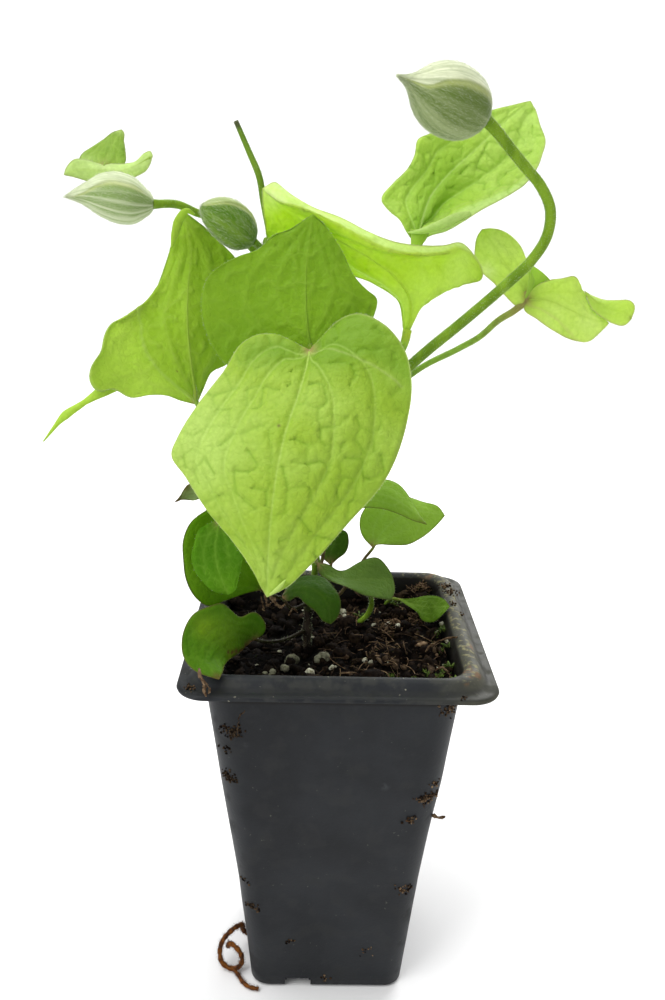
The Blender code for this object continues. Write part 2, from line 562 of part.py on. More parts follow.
def make_soil():
    """Soil that fills the pot, with a rough top and plain holes where stems stand in it."""
    draw = random.Random(11)
    inset = POT_WALL + GAP + 0.25
    wall_heights = [SOIL_FLOOR] + [station[1] for station in POT_PROFILE if 10 < station[1] < 70] + [SOIL_EDGE]
    rings = []
    for height in wall_heights:
        half, height, corner, shift = pot_at(height)
        rings.append(square_ring(half - inset, height, corner - POT_WALL, shift))
    for share in SOIL_RINGS:
        ring = square_ring((half - inset) * share, SOIL_LEVEL, corner * share, shift)
        for point in ring:
            point.z += draw.uniform(-SOIL_BUMPS, SOIL_BUMPS)
        rings.append(ring)
    shape = bmesh.new()
    loops = loft(shape, rings)
    shape.faces.new(list(reversed(loops[0])))
    shape.faces.new(loops[-1])
    bmesh.ops.triangulate(shape, faces=shape.faces)
    item = object_from("soil", shape)
    leaf_stalk = LEAVES["leaf_on_soil"]["stalk"][::-1]
    for path, radius in ((MAIN_STEM, MAIN_RADIUS), (SPROUT, SPROUT_RADIUS), (leaf_stalk, STALK_RADIUS)):
        foot = Vector(path[0])
        standing = [foot - Vector((0, 0, GAP)), *[point for point in path if point[2] < SOIL_LEVEL + 4]]
        item = cut("soil", item, tube("hole", standing, radius + 1.5 * GAP, radius + 1.5 * GAP, 6, 8))
    return item


def make_bud(name):
    """A nodding bud: an arched egg drawn out to a point, with four ridges where its sepals meet."""
    _, base, tip, radius, arch, widths = BUDS[name]
    base, tip = Vector(base), Vector(tip)
    axis = (tip - base).normalized()
    side = axis.cross(Vector((0, 1, 0))).normalized()
    up = side.cross(axis)
    rings = []
    for share, width in widths:
        centre = base.lerp(tip, share) - side * arch * ARCH_FORM * share**2 * (1 - share)
        ring = []
        for index in range(BUD_SIDES):
            angle = 2 * math.pi * index / BUD_SIDES
            ridge = 1 + BUD_RIDGE * math.sin(math.pi * share) * abs(math.cos(2 * angle))
            ring.append(centre + (side * math.cos(angle) + up * math.sin(angle)) * radius * width * ridge)
        rings.append(ring)
    shape = bmesh.new()
    loops = loft(shape, rings)
    shape.faces.new(list(reversed(loops[0])))
    shape.faces.new(loops[-1])
    bmesh.ops.recalc_face_normals(shape, faces=shape.faces)
    return object_from(name, shape)


def make_bud_stalk(name):
    """A flower stalk from the main stem to just short of its bud."""
    radius, height, way = BUD_STALKS[name]
    base, tip = next((Vector(bud[1]), Vector(bud[2])) for bud in BUDS.values() if bud[0] == name)
    axis = (tip - base).normalized()
    skin_end, skin = seat(height, way[0], radius)
    points = [skin, skin_end, *way, base - axis * (GAP + 0.8 * radius)]
    return tube(name, points, radius, radius, 8 + len(way), 8)


def make_leaf(name):
    """A leaf in one piece: its blade or folds, its stalk, and any drawn-out tail."""
    leaf = LEAVES[name]
    joint = Vector(leaf["joint"])
    inside = joint.lerp(Vector(leaf["rib"][0]), 0.4)
    line = [inside, joint, *leaf["stalk"]]
    if leaf["height"] is not None:
        line += seat(leaf["height"], line[-1], STALK_RADIUS)
    parts = [blade(fold) for fold in FOLDS.get(name, [])]
    parts.append(tube("stalk", line, STALK_RADIUS, STALK_RADIUS, len(line) + 4, 6))
    if "tail" in leaf:
        parts.append(tube("tail", leaf["tail"], 0.9, 0.4, 8, 6))
    return fuse(name, blade(name), parts)


def make_root():
    """The curled root with its branch, grown as one."""
    loop = tube("root", ROOT_LOOP, ROOT_RADIUS, ROOT_RADIUS, 30, 6)
    return fuse("root", loop, [tube("branch", ROOT_BRANCH, BRANCH_RADIUS, BRANCH_RADIUS, 8, 6)])


def finish(item, collection, material):
    """Give a finished solid its material and shading, and file it."""
    item.data.materials.append(make_material(*material))
    item.data.shade_smooth()
    item.data.set_sharp_from_angle(angle=math.radians(40))
    bpy.context.scene.collection.objects.unlink(item)
    collection.objects.link(item)


def leaf_material(name):
    if name in PALE_LEAVES:
        return PALE_LEAF
    return MID_LEAF if name in MID_LEAVES else DARK_LEAF


def main():
    clear_scene()
    plant = make_collection("potted_sunset_clematis")
    finish(make_pot(), plant, PLASTIC)
    finish(make_soil(), plant, EARTH)
    finish(tube("stem_main", MAIN_STEM, MAIN_RADIUS, CUT_RADIUS, 26, 8), plant, STEM)
    finish(tube("sprout", SPROUT, SPROUT_RADIUS, CUT_RADIUS, 9, 6), plant, STEM)
    for name in BUD_STALKS:
        finish(make_bud_stalk(name), plant, STEM)
    for name in BUDS:
        finish(make_bud(name), plant, WOOL)
    folds = [fold for group in FOLDS.values() for fold in group]
    for name in LEAVES:
        if name not in folds:
            finish(make_leaf(name), plant, leaf_material(name))
    finish(make_root(), plant, ROOT)


main()
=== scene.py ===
# The looks of the potted sunset clematis: fine leaves, woolly buds, stems, pot and soil round the
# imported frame. Sizes and places are in millimetres, in the frame of the CAD model, where no other unit
# is named. Meshes are made in metres.
import functools
import math

import bpy
import bmesh
import numpy as np
from mathutils import Matrix, Vector
from mathutils.kdtree import KDTree


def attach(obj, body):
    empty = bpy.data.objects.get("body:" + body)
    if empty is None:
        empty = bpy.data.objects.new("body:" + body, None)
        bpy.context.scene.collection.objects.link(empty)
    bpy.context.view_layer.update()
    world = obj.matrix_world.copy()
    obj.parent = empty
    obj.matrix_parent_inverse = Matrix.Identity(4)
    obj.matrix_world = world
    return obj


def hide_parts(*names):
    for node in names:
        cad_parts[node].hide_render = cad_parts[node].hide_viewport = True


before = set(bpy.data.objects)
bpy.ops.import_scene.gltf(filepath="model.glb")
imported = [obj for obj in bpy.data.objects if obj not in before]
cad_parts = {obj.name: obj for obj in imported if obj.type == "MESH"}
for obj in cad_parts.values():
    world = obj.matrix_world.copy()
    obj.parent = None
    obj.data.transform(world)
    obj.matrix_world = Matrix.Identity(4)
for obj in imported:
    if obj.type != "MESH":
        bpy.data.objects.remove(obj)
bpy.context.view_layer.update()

MM = 0.001

# Seeds of the random draws: for the whole scene, for the pot's buckles and for the soil's top.
SEED = 21
POT_SEED = 5
SOIL_SEED = 3

# Points along a smooth curve before it is read, and along lines that are searched.
CURVE_STEPS = 600
LINE_STEPS = 200
# A direction that no tube follows. The first point of a tube's first ring lies square to it.
SEAM_WAY = (0.31, 0.87, 0.38)

# The camera that took the photo, found by fitting the pot: place, tilt down, turn right, roll, and lens.
CAMERA_AT = (-5.97, -191.50, 174.69)
CAMERA_PITCH = 17.711
CAMERA_YAW = 1.308
CAMERA_ROLL = -1.592
CAMERA_LENS = 33.80
CAMERA_SENSOR = 36.0

# The pot, as in the CAD model: half width, height, corner radius, and how far it hangs to the side.
# The first stations of the profile are the wall, and the rest the rim.
POT_WALL = 0.8
WALL_STATIONS = 5
POT_PROFILE = [
    (16.9, 0.0, 4.0, -0.4), (17.6, 0.7, 4.4, -0.4), (20.3, 30.0, 5.0, -0.5), (23.6, 57.0, 5.6, -0.6),
    (26.4, 83.0, 6.0, -0.8), (26.7, 84.4, 6.0, -0.5), (27.4, 85.0, 6.0, -0.2), (28.3, 84.7, 6.2, 0.0),
    (29.6, 83.3, 6.2, 0.0), (30.6, 82.8, 6.0, 0.0), (31.75, 82.7, 5.9, 0.0),
]
# Its upper skin, from the lip over the crest and down inside to the floor.
POT_INSIDE = [
    (31.9, 83.1, 6.0, 0.0), (31.7, 83.5, 5.9, 0.0), (31.1, 83.7, 5.9, 0.0), (30.5, 83.6, 5.9, 0.0),
    (29.9, 83.8, 6.0, 0.0), (29.2, 84.5, 6.0, 0.0), (28.6, 85.4, 6.0, 0.0), (28.0, 85.9, 6.0, 0.0),
    (27.3, 86.0, 5.9, -0.2), (26.6, 85.7, 5.8, -0.4), (26.1, 85.0, 5.6, -0.6), (25.7, 83.0, 5.4, -0.8),
    (24.6, 72.0, 5.2, -0.7), (22.8, 57.0, 4.9, -0.6), (19.5, 30.0, 4.4, -0.5), (16.8, 1.8, 3.6, -0.4),
]
# The longest step between rings of the pot, and the depth and length of the buckles in its wall.
POT_SPACING = 3.0
BUCKLE_DEPTH = 0.16
BUCKLE_SCALE = 11.0
DRAIN_SLOTS = [(-7.0, -17.6), (0.0, 17.6), (17.2, 0.0), (-18.0, -3.0)]
DRAIN_WIDTH = 6.0
DRAIN_DEPTH = 3.2
DRAIN_HEIGHT = 2.6
CORNER_POINTS = 14
SIDE_POINTS = 14

# The soil: its heights, the gap to the wall, the rings of its sides and top, and the half width that
# litter lies on.
SOIL_FLOOR = 3.2
SOIL_LEVEL = 79.6
SOIL_GAP = 0.35
SOIL_STATIONS = (SOIL_FLOOR, 30.0, 57.0, 70.0, 78.4)
SOIL_RINGS = 70
SOIL_HALF = 24.6

MAIN_STEM = [
    (-6.5, 1, 67.5), (-6.5, 1, 78), (-6.5, 1, 83.5), (-6, 1, 90), (-5, 1, 97), (-5, 2, 103.5),
    (-5.5, 2.5, 112.5), (-7, 3, 123.5), (-9, 4, 134.5), (-11.5, 5, 146.5), (-13.5, 7, 157.5),
    (-15.5, 8, 166.5), (-17, 8.5, 173.5), (-18, 8, 179), (-20, 8, 183.5), (-22.5, 7, 189),
]
MAIN_RADIUS = 0.68
# Its radius at heights, and the length over which a stalk grows square out of it.
MAIN_RADII = [(70, 1.0), (84, 0.85), (100, MAIN_RADIUS), (180, MAIN_RADIUS), (189, 0.5)]
STALK_FOOT = 1.2
# Sides of a stem, its ribs and their height as a share of its radius, and fine hairs: per mm, and width.
STEM_SIDES = 20
STEM_RIBS = 6
RIB_HEIGHT = 0.05
STEM_HAIRS_PER_MM = 26
BUD_STALK_HAIRS_PER_MM = 45
HAIR_WIDTH = 0.05
SPROUT = [(5.5, 12, 74), (5.5, 12, 79), (7.5, 12, 81), (8.5, 11.5, 84), (8, 10.5, 87), (6.5, 9.5, 89)]

# Flower stalks: radius, the height where each leaves the main stem, and its way from there to its bud.
BUD_STALKS = {
    "bud_stalk_large": (1.1, 124, [
        (0.5, 5, 129), (6.5, 6, 134), (11.5, 6.5, 139), (18, 7.5, 145), (24, 8.5, 150), (30.5, 10, 155.5),
        (35, 11, 159.5), (39, 11.5, 163.5), (42, 11.5, 169), (42, 11, 174), (39.5, 10.5, 178.5),
        (36, 10, 182), (32, 9.5, 186), (29.5, 9, 188.5)]),
    "bud_stalk_left": (0.8, 163, [
        (-20, 8, 165.5), (-23.5, 7.5, 168.5), (-26.5, 6.5, 170.5), (-30, 5, 171.5), (-33.5, 3, 173)]),
    "bud_stalk_middle": (0.7, 166.5, [(-16.5, 5, 165)]),
}
# A bud's radius along its length, both as shares of the whole: one drawn out to its point, one round
# with a short beak, and one blunt.
LONG_BUD = [
    (0.0, 0.22), (0.03, 0.38), (0.10, 0.60), (0.22, 0.90), (0.33, 0.99), (0.42, 1.0), (0.52, 0.93),
    (0.63, 0.79), (0.78, 0.46), (0.89, 0.25), (0.96, 0.12), (1.0, 0.04),
]
ROUND_BUD = [
    (0.0, 0.25), (0.03, 0.42), (0.08, 0.62), (0.16, 0.82), (0.27, 0.96), (0.38, 1.0), (0.50, 0.98),
    (0.61, 0.87), (0.70, 0.70), (0.77, 0.50), (0.83, 0.32), (0.89, 0.18), (0.95, 0.09), (1.0, 0.03),
]
BLUNT_BUD = [
    (0.0, 0.24), (0.03, 0.42), (0.10, 0.66), (0.22, 0.90), (0.36, 1.0), (0.52, 0.99), (0.68, 0.90),
    (0.80, 0.74), (0.90, 0.52), (0.96, 0.32), (1.0, 0.12),
]
# Buds: the stalk that carries each, its base, its tip, its greatest radius, how far it arches up
# between base and tip, and its shape.
BUDS = {
    "bud_large": ("bud_stalk_large", (26.5, 8, 191), (8.5, -1, 197), 6.8, 0.0, ROUND_BUD),
    "bud_left": ("bud_stalk_left", (-38, 0.5, 173), (-54.5, -1, 174), 4.75, 0.7, LONG_BUD),
    "bud_middle": ("bud_stalk_middle", (-18.5, 1, 166.5), (-28.5, -1.5, 173), 4.2, 0.4, BLUNT_BUD),
}
# Makes share**2 * (1 - share) reach 1 where a bud arches most, two thirds of the way along.
ARCH_FORM = 6.75

LEAF_THICKNESS = 0.32
# Leaf stalks of the upper and the lower leaves: radius, and hairs per mm.
UPPER_STALKS = (0.6, 22)
LOWER_STALKS = (0.42, 4)
# Shares of a blade's length between which its edges follow their lines. Beyond them it narrows to a point.
FIRST_ROW = 0.07
LAST_ROW = 0.95
# The net of small veins: tries at placing a cell, kinds of border, the size of the finer cells as a share,
# and how far (mm) the veins, both nets, a crease and the margin show to their sides.
NET_TRIES = 2500
NET_STRENGTHS = 251
FINE_CELLS = 0.42
VEIN_REACH = 0.24
NET_REACH = 0.30
FINE_NET_REACH = 0.25
CREASE_REACH = 0.28
CREASE_STEPS = 160
MARGIN_REACH = 0.22
# Waves of a margin along a blade, where side veins end, and the midrib's length as a share and its radii.
MARGIN_WAVES = 3.7
SIDE_VEIN_END = 0.93
MIDRIB_SHARE = 0.7
MIDRIB_RADII = (0.36, 0.06)
STRIP_STEPS = 60
STRIP_SIDES = 16
STRIP_THICKNESS = 0.36

# A blade hangs on guide lines from its joint to its tip: the midrib, its two edges, and for some a line
# between, with its share of the way across. "stalk" and "height" lead to the main stem.
LEAVES = {
    "leaf_front": {
        "joint": (-7, -10, 147), "tip": (-14, -30.5, 104),
        "rib": [
            (-7.5, -13, 144.5), (-9, -17.5, 139.5), (-11, -21.5, 134), (-12.5, -25, 127),
            (-13.5, -28, 118.5)],
        "left": [
            (-9.5, -9, 148), (-13, -8.5, 149.5), (-17, -8.5, 149.5), (-20.5, -9.5, 147.5),
            (-23, -11, 143.5), (-28, -14, 137), (-32, -17, 130.5), (-33, -18, 128), (-30, -20.5, 124),
            (-25.5, -24, 118.5), (-20.5, -27, 113.5), (-16.5, -29.5, 108.5)],
        "right": [
            (-5, -9, 148), (-3, -8, 151.5), (1.5, -8, 154), (7.5, -10, 152), (11.5, -12, 147),
            (12.5, -14.5, 142.5), (11.5, -18, 134), (7.5, -22.5, 124.5), (1, -26, 117.5), (-6, -29, 110),
            (-11, -30.5, 105.5)],
        "stalk": [(-6.5, -7.5, 144.5), (-7, -2, 140)], "height": 137,
    },
    "leaf_standing": {
        "joint": (-6.5, -5.5, 145.5), "tip": (-7, -2, 172),
        "rib": [(-7.5, -5.5, 150), (-8, -5, 156), (-8, -4, 163), (-7.5, -3, 167.5)],
        "left": [
            (-10.5, -5, 143.5), (-18, -4.5, 141), (-24, -4, 143), (-27.5, -3.5, 148.5), (-28.5, -3.5, 155),
            (-27, -4, 160), (-22, -4, 163.5), (-17, -3.5, 165.5), (-14.5, -3.5, 168), (-11.5, -3, 169),
            (-8.5, -2.5, 171)],
        "right": [
            (-2, -5, 145), (2.5, -4, 147.5), (5.5, -3.5, 153), (6, -3, 156.5), (4, -3, 158),
            (1.5, -3, 160.5), (-1, -2.5, 165), (-3, -2.5, 168), (-5, -2, 170.5)],
        "stalk": [(-7.5, -1, 144)], "height": 142.5,
    },
    "leaf_left": {
        "joint": (-30, -2, 134), "tip": (-32.5, 1.5, 172),
        "rib": [(-31, -2.5, 142.5), (-31.5, -2.5, 149.5), (-31.5, -1, 157), (-31, 1, 164.5)],
        "left": [
            (-32, -2.5, 134), (-35, -4, 136), (-39, -5.5, 136.5), (-42.5, -6.5, 136), (-46, -7.5, 138),
            (-48.5, -8.5, 137.5), (-50, -9, 140), (-49.5, -9, 142.5), (-47.5, -8.5, 145.5),
            (-47, -7.5, 148.5), (-45.5, -6, 151), (-42, -4, 151.5), (-39, -1.5, 155), (-35.5, 0, 163),
            (-34, 1, 168.5)],
        "right": [
            (-28.5, -1, 137.5), (-27, 0.5, 140.5), (-24.5, 2, 141.5), (-21, 3.5, 145.5), (-20, 4.5, 152.5),
            (-20.5, 5, 158.5), (-22.5, 5, 163), (-25, 5, 165.5), (-28, 4, 168.5), (-30.5, 2.5, 170.5)],
        "stalk": [(-28, -1.5, 131.5), (-23, 0, 128.5), (-15, 2, 126)], "height": 124.5,
    },
    "leaf_arching": {
        "joint": (12.5, 5, 147), "tip": (-17, 3, 176.5),
        "rib": [
            (13.5, 5, 152), (13, 4, 156), (10, 3, 160), (5, 2, 163.5), (-1.5, 1.5, 167), (-8.5, 1.5, 170.5),
            (-13.5, 2.5, 173.5)],
        "left": [
            (12, 5.5, 151), (11, 6, 155), (7.5, 6, 157.5), (4.5, 6, 159), (1, 6, 160), (-5.5, 5.5, 161.5),
            (-11.5, 5, 163.5), (-16, 4.5, 166.5), (-16.5, 4, 170), (-17, 3.5, 174)],
        "right": [
            (14.5, 6, 149.5), (15.5, 7, 153), (19.5, 9, 156), (25, 11, 158.5), (29.5, 13, 159.5),
            (29, 12.5, 162), (27, 11.5, 164.5), (24, 10, 167), (20, 7, 166.5), (15, 4.5, 166.5),
            (10, 3, 167), (5, 2.5, 168.5), (-1.5, 2, 171.5), (-7.5, 2, 173.5), (-12, 3, 176),
            (-16, 4, 178.5)],
        "stalk": [(11.5, 4, 144), (7.5, 3, 138.5), (0.5, 3, 130.5)], "height": 127.5,
    },
    "leaf_cupped": {
        "joint": (15, 17, 166), "tip": (40, 30, 196.5),
        "rib": [(16, 18, 169.5), (18, 21, 175.5), (22, 24, 180.5), (27.5, 26, 185.5), (33.5, 28, 191)],
        "left": [
            (14, 17, 167), (13, 17, 168.5), (11.5, 18, 171), (9.5, 19, 172.5), (7.5, 20, 175),
            (10, 21, 178.5), (13, 22, 181.5), (14.5, 23, 184.5), (15, 24, 187.5), (18, 25, 189),
            (22.5, 26.5, 191.5), (27.5, 28, 193), (32, 29, 194.5), (36, 29.5, 195.5)],
        "right": [
            (16.5, 16, 167), (18, 15, 168), (21, 14, 169), (24.5, 14, 171), (28.5, 15, 173.5),
            (34, 16.5, 176.5), (38, 18.5, 179), (40.5, 20.5, 182), (42, 23, 185), (43, 25, 188),
            (42, 27.5, 191.5), (41, 29.5, 195)],
        "stalk": [(15, 15, 159), (14, 13, 149.5), (11, 11.5, 141), (3, 8.5, 133)], "height": 131,
    },
    "leaf_far": {
        "joint": (40.5, 18, 155.5), "tip": (30, 22, 169.5),
        "rib": [(39, 18.5, 158), (36.5, 19, 161), (34, 20, 164), (32, 21, 167)],
        "left": [
            (38.5, 17, 153.5), (35, 17, 156), (32.5, 17.5, 158.5), (30, 18.5, 160.5), (28.5, 19.5, 163),
            (28.5, 20.5, 165.5), (29, 21.5, 168)],
        "right": [
            (41.5, 19, 158), (41, 20, 161), (40, 21, 163.5), (39, 22.5, 166), (37, 23, 168),
            (34, 23, 169.5)],
        "stalk": [
            (38, 17, 153), (34, 16, 150.5), (30, 15, 147), (25.5, 14, 144.5), (17, 11, 140.5),
            (9.5, 9, 134.5), (1, 6.5, 126)],
        "height": 121,
    },
    "leaf_far_outer": {
        "joint": (40, 17.5, 155), "tip": (60, 21, 150),
        "rib": [(44.5, 17.5, 155), (50, 18, 153), (55, 19.5, 151)],
        "left": [
            (42, 19, 157.5), (44.5, 19.5, 159), (48, 20, 159.5), (51.5, 21, 160), (53, 21.5, 157.5),
            (55, 21.5, 154.5), (57.5, 21, 152)],
        "right": [
            (39.5, 16.5, 153), (42.5, 16, 151), (46.5, 16.5, 148.5), (51, 17.5, 146.5), (55, 18.5, 146),
            (58, 20, 148)],
    },
    "leaf_far_curl": {
        "joint": (53.5, 20.5, 157), "tip": (65, 21, 151),
        "rib": [(56.5, 20.5, 154.5), (60, 20.5, 153), (63, 20.5, 152.5)],
        "left": [(55.5, 22, 156), (58.5, 22, 155), (61.5, 21.5, 155), (64.5, 21.5, 155), (65.5, 21.5, 154)],
        "right": [(54.5, 20.5, 155), (55.5, 20, 153), (57.5, 20, 151.5), (60.5, 20, 150), (63, 20, 149.5)],
    },
    "leaf_by_bud": {
        "joint": (-48.5, 5.5, 179.5), "tip": (-45.5, 10, 187),
        "rib": [(-48, 7, 181.5), (-47, 9, 184.5)],
        "left": [
            (-51.5, 6, 180), (-53.5, 6.5, 181), (-53, 7, 182), (-51, 8, 183.5), (-49, 9, 185),
            (-47, 9.5, 186.5)],
        "right": [(-46, 6.5, 179.5), (-44.5, 7, 180.5), (-44.5, 8, 183), (-45, 9.5, 185), (-45, 10, 186.5)],
        "stalk": [(-47, 7, 177.5), (-43.5, 7, 175), (-39.5, 6, 173.5)], "height": None,
    },
    "leaf_by_bud_lip": {
        "joint": (-38.5, 4.5, 182), "tip": (-56, 4, 178),
        "rib": [(-41, 4.5, 180.5), (-45, 5, 179), (-49.5, 5, 179), (-53, 4.5, 179)],
        "left": [
            (-39, 5.5, 183), (-40.5, 6, 182.5), (-42, 6.5, 181), (-44.5, 6.5, 180.5), (-49, 6.5, 180.5),
            (-52, 6, 181), (-54, 5, 181), (-55.5, 4.5, 179.5)],
        "right": [
            (-39.5, 4, 179.5), (-42, 4.5, 178), (-45.5, 5, 176.5), (-50, 5, 176.5), (-53.5, 4.5, 177.5)],
    },
    "leaf_dark_upper": {
        "joint": (-16.5, -4, 94), "tip": (-26.5, -13.5, 115.5),
        "rib": [(-19.5, -8, 99), (-22.5, -11, 104.5), (-25.5, -13, 111)],
        "left": [
            (-19.5, -8, 95), (-23.5, -12, 95), (-27, -15, 95), (-29, -16, 97), (-31, -16.5, 101.5),
            (-31.5, -16, 105.5), (-31.5, -15.5, 109.5), (-30, -14.5, 113)],
        "right": [(-15, -5, 97.5), (-16, -7.5, 103.5), (-19, -10, 110), (-23, -12.5, 114.5)],
        "stalk": [(-12.5, -2, 91.5)], "height": 91,
    },
    "leaf_dark_inner": {
        "joint": (-24, -16, 114), "tip": (-22.5, -17, 98.5),
        "rib": [(-24.5, -16.5, 112), (-25, -17, 108.5), (-24.5, -17.5, 104.5), (-23.5, -17.5, 101.5)],
        "left": [
            (-26, -16.5, 113.5), (-28, -17.5, 112.5), (-29, -18, 109.5), (-29.5, -18.5, 107),
            (-29, -18.5, 104.5), (-27.5, -18.5, 102), (-25, -18, 99.5)],
        "right": [
            (-22.5, -16, 112.5), (-20, -16, 109.5), (-19.5, -16, 106.5), (-20, -16, 104),
            (-20.5, -16.5, 101.5), (-21, -17, 99.5)],
        "stalk": [(-21.5, -15, 115.5), (-16.5, -12, 117), (-10, -5, 116)], "height": 114,
    },
    "leaf_over_rim": {
        "joint": (-17.5, -14, 87), "tip": (-23, -31, 87),
        "rib": [(-19.5, -17, 89.5), (-22, -21, 91.5), (-25, -25, 91), (-26, -27.5, 89.5)],
        "left": [
            (-16, -14, 87.5), (-15, -13.5, 90), (-16, -14, 92.5), (-17.5, -15, 94), (-20, -17, 93.5),
            (-22, -18.5, 96), (-23.5, -20, 98), (-26, -22, 98), (-28.5, -24, 97.5), (-30, -26, 95.5),
            (-30.5, -27.5, 93), (-30, -29, 90.5), (-27, -30.5, 88), (-24.5, -31, 87.5)],
        "right": [
            (-19, -15.5, 86.5), (-19.5, -17.5, 86.5), (-21.5, -21, 86.5), (-22.5, -25, 87),
            (-22.5, -28.5, 87.5)],
        "stalk": [(-15, -9.5, 84.5), (-11, -4, 82.5)], "height": 82.4,
    },
    "leaf_right_upper": {
        "joint": (3, 8, 111), "tip": (19.5, 4, 107),
        "rib": [(6.5, 7, 113), (10, 6, 113), (14.5, 5, 111)],
        "left": [
            (4, 9, 113.5), (7.5, 9.5, 115), (11, 9.5, 115.5), (13.5, 9, 114.5), (15.5, 7.5, 112.5),
            (17, 6, 110)],
        "right": [(4.5, 7, 109.5), (6.5, 6, 110), (10, 5, 110), (13.5, 4.5, 109), (16, 4, 108)],
        "stalk": [(1, 8, 109), (-1.5, 6.5, 104.5), (-3, 4, 101)], "height": 98,
    },
    "leaf_right_lower": {
        "joint": (8, 9, 99.5), "tip": (25, 15, 105.5),
        "rib": [(10, 10, 102.5), (13, 11, 105.5), (17.5, 12.5, 107)],
        "left": [
            (5.5, 10.5, 102), (5, 12, 105), (6.5, 13, 108), (11, 14, 109.5), (15.5, 15, 110),
            (20, 15.5, 108.5), (23.5, 15.5, 107.5)],
        "right": [(9, 8, 100.5), (12, 8, 100.5), (16, 8.5, 100.5), (19, 10, 101.5), (22.5, 12.5, 103.5)],
        "stalk": [(6.5, 8, 97.5), (4.5, 6, 95), (0, 3.5, 89.5)], "height": 87.5,
    },
    "leaf_right_mid": {
        "joint": (-4.5, -2.5, 100), "tip": (12, 0, 90.5),
        "rib": [(-1.5, -2, 97.5), (2.5, -1, 95.5), (7, 1, 95), (11.5, 2, 93.5)],
        "left": [
            (-2.5, -1.5, 99.5), (0, -0.5, 97.5), (2, 1.5, 97), (4.5, 3, 98), (9, 4, 99), (11, 4, 97),
            (12.5, 3.5, 94.5), (13, 2, 92)],
        "right": [(-4.5, -3, 98.5), (-2, -4, 96.5), (1.5, -4.5, 95.5), (5, -4, 93.5), (8.5, -2.5, 92)],
        "stalk": [], "height": 99.5,
    },
    "leaf_crown": {
        "joint": (-12, -5, 93), "tip": (-1.5, -13, 90.5),
        "rib": [(-9, -7, 96), (-5.5, -9.5, 97), (-2.5, -12, 95)],
        "left": [
            (-11, -4, 95), (-9, -4, 97), (-6, -4.5, 98), (-3, -6, 98), (-1, -8.5, 97), (0.5, -11, 94.5),
            (0, -12.5, 92)],
        "right": [(-11, -6, 92.5), (-8.5, -8.5, 94.5), (-7, -10.5, 94), (-4.5, -12, 92.5), (-3, -13, 91)],
        "stalk": [(-10.5, -4.5, 90.5)], "height": 89,
    },
    "leaf_on_soil": {
        "joint": (15.5, 19, 82.5), "tip": (26, 5, 87),
        "rib": [(18.5, 15, 83), (21.5, 10, 84.5)],
        "left": [(18.5, 16, 84), (21, 14, 85.5), (23, 11, 87), (25, 8, 87.5)],
        "right": [(17.5, 15, 82.5), (19.5, 11, 82.5), (20.5, 7.5, 82), (22.5, 6, 82.5), (24, 4, 85)],
        "stalk": [(14, 20, 82), (12.7, 20.5, 80.5), (12.2, 20.5, 77.5)], "height": None,
    },
    "leaf_back_small": {
        "joint": (-1.5, 5, 96.5), "tip": (0.5, 8.5, 104),
        "rib": [(-1.5, 6, 99), (-0.5, 7.5, 101.5)],
        "left": [(-3.5, 6, 98), (-5, 7.5, 99.5), (-3.5, 8.5, 102), (-1, 9, 104)],
        "right": [(0, 5, 98), (2, 6, 99.5), (2.5, 7, 102), (2, 8, 103.5)],
        "stalk": [(-2, 4, 95.5)], "height": 93.5,
    },
    "leaf_dry": {
        "joint": (-26.5, -6, 117), "tip": (-34, -8.5, 115),
        "rib": [(-29, -6.5, 116.5), (-31.5, -7.5, 116.5)],
        "left": [(-28.5, -6.5, 115.5), (-31, -7, 115), (-32.5, -8, 115.5)],
        "right": [(-28.5, -6, 118), (-30, -6.5, 118.5), (-31.5, -7, 118.5), (-32.5, -8, 117)],
        "stalk": [(-21, -3, 117), (-14, 0.5, 117)], "height": 118.5,
    },
}
FOLDS = {"leaf_far": ["leaf_far_outer", "leaf_far_curl"], "leaf_by_bud": ["leaf_by_bud_lip"]}
# Folds that start away from the stalk.
LOOSE_FOLDS = ["leaf_far_curl", "leaf_by_bud_lip"]
# Lines between midrib and edge that fold a blade or turn up its brim.
BRIMS = {
    "leaf_left": (-0.6, [
        (-33.5, -4, 138), (-36.5, -5, 141.5), (-39, -5, 145.5), (-40, -4, 149.5), (-38.5, -2.5, 154),
        (-36.5, -1.5, 158), (-34.5, -0.5, 162), (-33.5, 1, 167.5)]),
    "leaf_arching": (0.8, [
        (14, 5.5, 149), (15.5, 6.5, 153), (19, 8, 156), (24, 10, 158), (28.5, 12, 159.5), (28, 11.5, 162),
        (26, 10.5, 164), (23.5, 8.5, 165.5), (19.5, 5.5, 165), (14.5, 3, 165), (10, 1.5, 165.5),
        (4.5, 0.5, 167.5), (-1.5, 0, 170.5), (-7.5, 0.5, 173), (-12.5, 1.5, 175), (-15.5, 2.5, 176)]),
    "leaf_cupped": (0.8, [
        (15.5, 17.5, 168), (17.5, 17.5, 169.5), (20.5, 18, 170.5), (23.5, 19, 173), (29, 20.5, 176),
        (34, 22, 179), (38, 23.5, 182), (40.5, 25, 185), (41.5, 26.5, 187.5), (41, 28, 191),
        (41, 29.5, 194)]),
}

